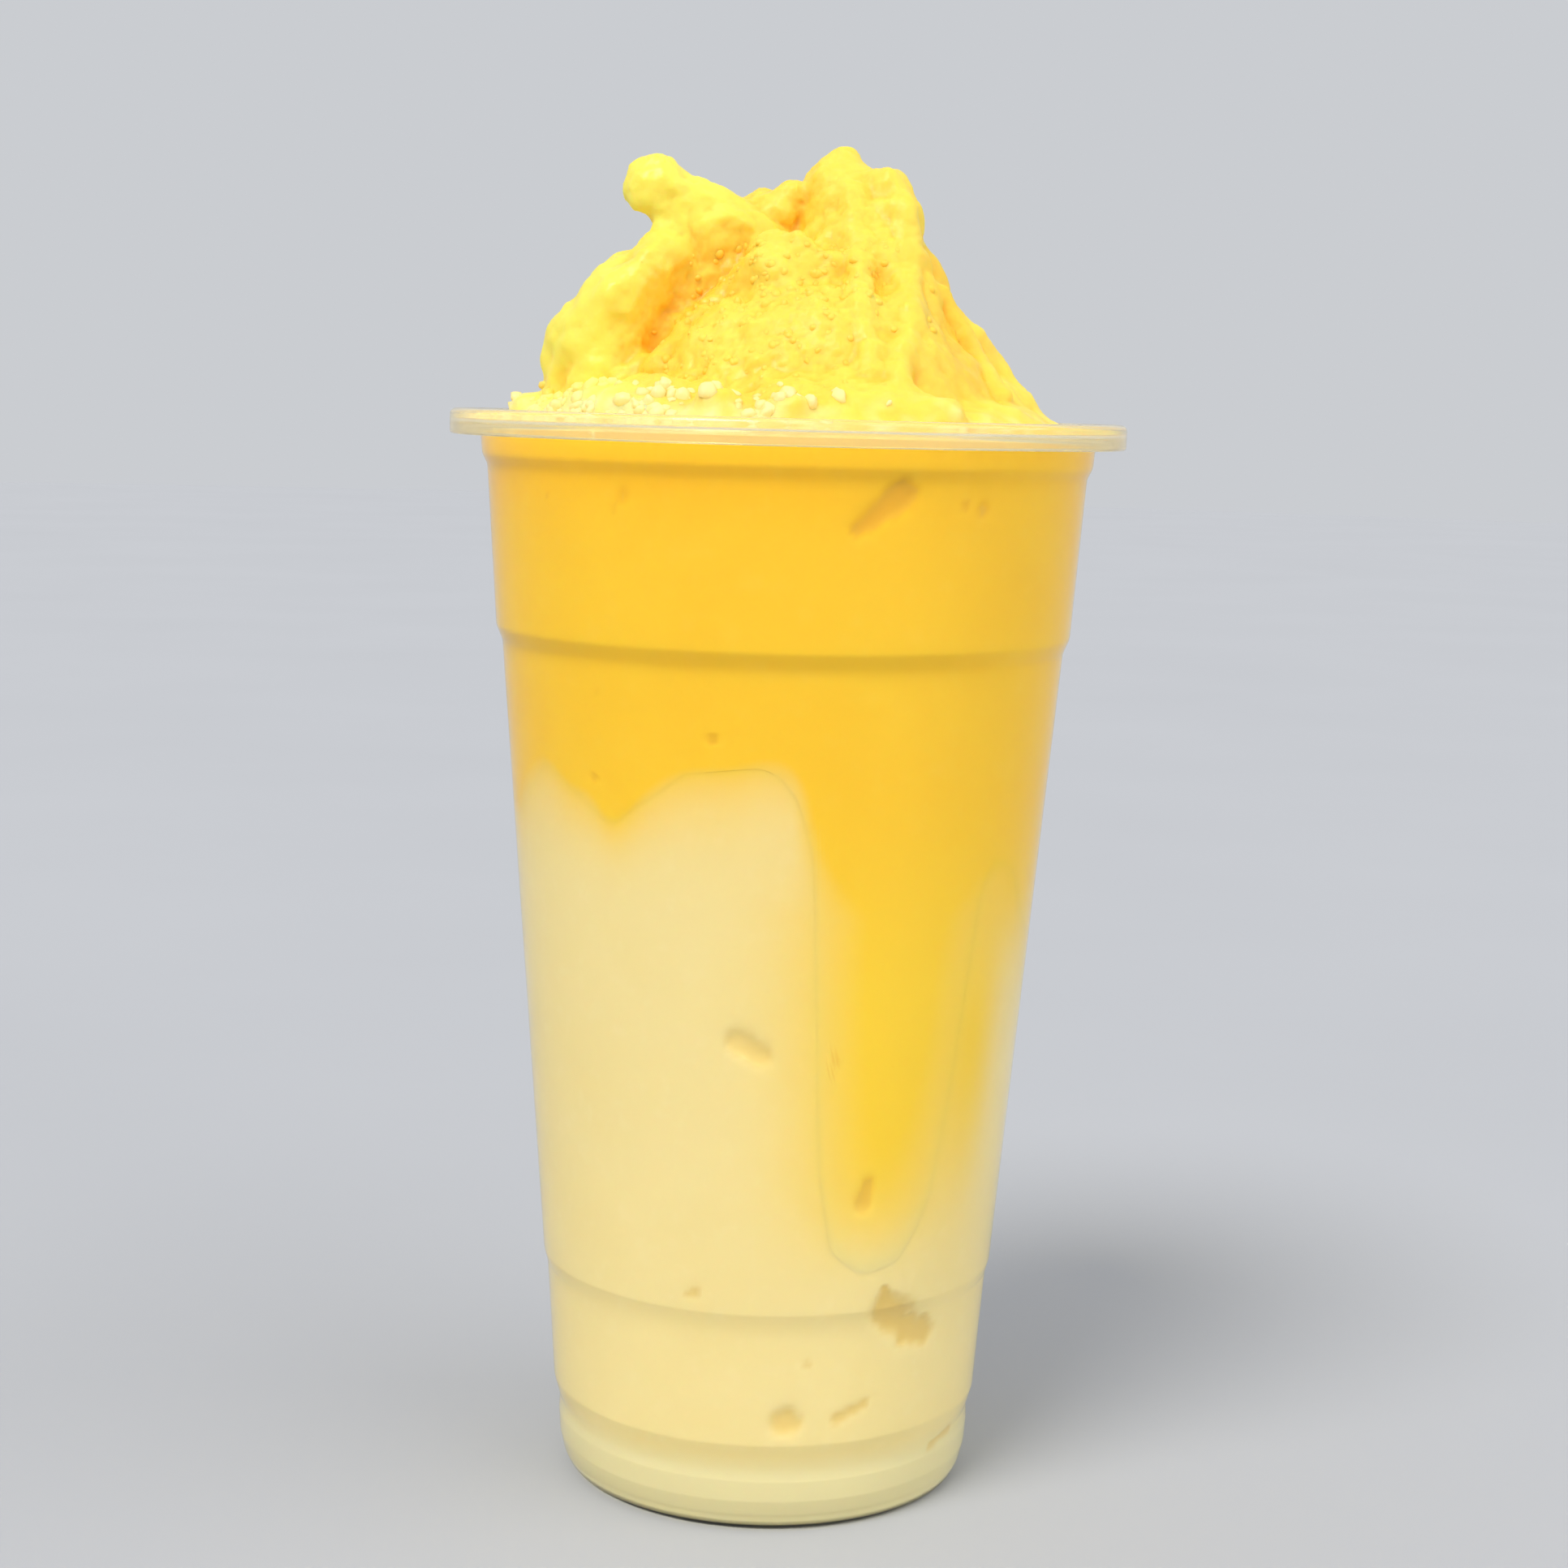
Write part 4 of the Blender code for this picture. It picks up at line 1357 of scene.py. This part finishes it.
# %% [markdown]
# ## Loose grains and crumbs
#
# The slush has crumbled on the front dome, and paler crumbs of ice lie along the left of the rim.
# There are hundreds of them, so Geometry Nodes lay them. The tree scatters points over the heap, as
# densely as one of its masks says, and puts a ball of a few dozen faces on each, turned and
# stretched at random. Once they are real mesh, noise dents every ball in its own way, so no two
# are alike. The fixed seed keeps the same crumbs in every run.

# %% Two helpers for the tree that scatters grains
def random_node(tree, kind, low, high, seed):
    """A random value for each point, with the sockets of its own kind set."""
    made = tree.nodes.new("FunctionNodeRandomValue")
    made.data_type = kind
    sockets = [socket for socket in made.inputs if socket.enabled and socket.name in ("Min", "Max")]
    for socket, value in zip(sockets, (low, high)):
        if isinstance(value, bpy.types.NodeSocket):
            tree.links.new(value, socket)
        else:
            socket.default_value = value
    tree.links.new(seed, made.inputs["Seed"])
    return next(socket for socket in made.outputs if socket.enabled)


def scaled(tree, vector, size):
    """A vector times a number, as a socket."""
    made = add_node(tree, "ShaderNodeVectorMath", {0: vector}, operation="SCALE")
    tree.links.new(size, made.inputs["Scale"])
    return made.outputs[0]


# %% A Geometry Nodes tree that scatters uneven grains
GRAIN_SEGMENTS = 8
GRAIN_RINGS = 6
LEAST_STRETCH = (0.75, 0.75, 0.65)
MOST_STRETCH = (1.25, 1.25, 1.0)
FULL_TURN = (6.28, 6.28, 6.28)
DENT_SCALE = 900.0


def build_grain_tree():
    tree, inside, outside = new_group(
        "scattered grains", "GeometryNodeTree",
        {
            "Bed": ("NodeSocketGeometry", None), "Mask": ("NodeSocketString", None),
            "Per Area": ("NodeSocketFloat", 1e5), "Smallest": ("NodeSocketFloat", 0.0004),
            "Largest": ("NodeSocketFloat", 0.0008), "Dents": ("NodeSocketFloat", 0.0003),
            "Sunk": ("NodeSocketFloat", 0.0003), "Seed": ("NodeSocketInt", 1),
            "Material": ("NodeSocketMaterial", None),
        },
        {"Grains": ("NodeSocketGeometry", None)},
    )
    given = inside.outputs
    mask = add_node(
        tree, "GeometryNodeInputNamedAttribute", {"Name": given["Mask"]}, data_type="FLOAT"
    )
    density = math_node(tree, "MULTIPLY", mask.outputs[0], given["Per Area"])
    spread = add_node(tree, "GeometryNodeDistributePointsOnFaces", {
        "Mesh": given["Bed"], "Density": density, "Seed": given["Seed"],
    })
    ball = add_node(tree, "GeometryNodeMeshUVSphere", {
        "Segments": GRAIN_SEGMENTS, "Rings": GRAIN_RINGS, "Radius": 1.0,
    })
    size = random_node(tree, "FLOAT", given["Smallest"], given["Largest"], given["Seed"])
    stretch = random_node(tree, "FLOAT_VECTOR", LEAST_STRETCH, MOST_STRETCH, given["Seed"])
    turn = random_node(tree, "FLOAT_VECTOR", (0, 0, 0), FULL_TURN, given["Seed"])
    inwards = math_node(tree, "MULTIPLY", given["Sunk"], -1.0)
    sunk = add_node(tree, "GeometryNodeSetPosition", {
        "Geometry": spread.outputs["Points"],
        "Offset": scaled(tree, spread.outputs["Normal"], inwards),
    })
    laid = add_node(tree, "GeometryNodeInstanceOnPoints", {
        "Points": sunk.outputs[0], "Instance": ball.outputs["Mesh"],
        "Rotation": turn, "Scale": scaled(tree, stretch, size),
    })
    real = add_node(tree, "GeometryNodeRealizeInstances", {"Geometry": laid.outputs[0]})
    waves = add_node(tree, "ShaderNodeTexNoise", {"Scale": DENT_SCALE, "Detail": 1.0})
    centred = add_node(tree, "ShaderNodeVectorMath", {
        0: waves.outputs["Color"], 1: (0.5, 0.5, 0.5),
    }, operation="SUBTRACT")
    dented = add_node(tree, "GeometryNodeSetPosition", {
        "Geometry": real.outputs[0], "Offset": scaled(tree, centred.outputs[0], given["Dents"]),
    })
    smooth = add_node(tree, "GeometryNodeSetShadeSmooth", {"Geometry": dented.outputs[0]})
    painted = add_node(tree, "GeometryNodeSetMaterial", {
        "Geometry": smooth.outputs[0], "Material": given["Material"],
    })
    tree.links.new(painted.outputs[0], outside.inputs["Grains"])
    return tree


SCATTER = build_grain_tree()
print("tree:", SCATTER.name, len(SCATTER.nodes), "nodes")

# %% Lay the grains and the crumbs
LOOSE = (
    ("slush_grains", {"Mask": "grains", "Per Area": 3.0e5, "Smallest": 0.45 * MM, "Sunk": 0.35 * MM,
                      "Largest": 0.78 * MM, "Dents": 0.6 * MM, "Seed": 4}, GRAIN_FINISH),
    ("ice_crumbs", {"Mask": "crumbs", "Per Area": 8.5e5, "Smallest": 0.45 * MM, "Sunk": 0.3 * MM,
                    "Largest": 1.3 * MM, "Dents": 1.0 * MM, "Seed": 9}, ICE_FINISH),
)


def lay_loose(name, values, material):
    piece = add_piece(name, slush_heap.data.copy())
    run_tree(piece, SCATTER, {**values, "Material": material})
    dress(piece, "mango_slush")


for entry in LOOSE:
    lay_loose(*entry)

# %% [markdown]
# ## The floor and the light
#
# The drink was photographed in open shade with the sky above, so the light is even round the cup and
# about half as strong again on the heap. A large, soft, far lamp stands for the bright part of the
# sky, high up on the left. A weak one fills the right side, and the world gives the even rest. Far
# lamps light the whole floor alike. The floor's tone is chosen so that it sends back as much light as
# the world gives, and the line between them nearly disappears.

# %% Floor, lamps and world
FLOOR_RADIUS = 4.0
FLOOR_SIDES = 96
FLOOR_TONE = srgb(179, 181, 185)
FLOOR_TONE_PALE = srgb(184, 186, 190)
WORLD_TONE = srgb(240, 243, 248)
WORLD_STRENGTH = 0.68


def build_floor():
    bm = bmesh.new()
    bmesh.ops.create_circle(bm, cap_ends=True, segments=FLOOR_SIDES, radius=FLOOR_RADIUS)
    made, tree, output, where = new_material("floor")
    cloud = add_node(tree, "ShaderNodeTexNoise", {"Vector": where, "Scale": 6.0, "Detail": 4.0})
    tone = mix_colour(tree, cloud.outputs["Fac"], FLOOR_TONE, FLOOR_TONE_PALE)
    shader = add_node(tree, "ShaderNodeBsdfPrincipled", {
        "Base Color": tone, "Roughness": 0.9, "Specular IOR Level": 0.1,
    })
    tree.links.new(shader.outputs[0], output.inputs["Surface"])
    add_piece("floor", mesh_from("floor", bm), made)


def add_sun(name, azimuth, elevation, softness, strength, colour=(1, 1, 1)):
    """A far lamp, by the side that it shines from: azimuth from the front to the right."""
    lamp = bpy.data.lights.new(name, "SUN")
    lamp.angle = math.radians(softness)
    lamp.energy = strength
    lamp.color = colour
    held = bpy.data.objects.new(name, lamp)
    held.rotation_euler = (math.radians(90 - elevation), 0, math.radians(azimuth))
    scene.collection.objects.link(held)


def build_world():
    world = bpy.data.worlds.new("studio")
    world.use_nodes = True
    sky = world.node_tree.nodes["Background"]
    sky.inputs["Color"].default_value = (*WORLD_TONE, 1)
    sky.inputs["Strength"].default_value = WORLD_STRENGTH
    scene.world = world


build_floor()
build_world()
add_sun("high key", azimuth=-35, elevation=54, softness=25, strength=2.0, colour=(1.0, 0.98, 0.95))
add_sun("right fill", azimuth=65, elevation=30, softness=60, strength=0.95)
scene.view_settings.view_transform = "Standard"
print("lamps:", [lamp.name for lamp in bpy.data.lights], "world strength", WORLD_STRENGTH)
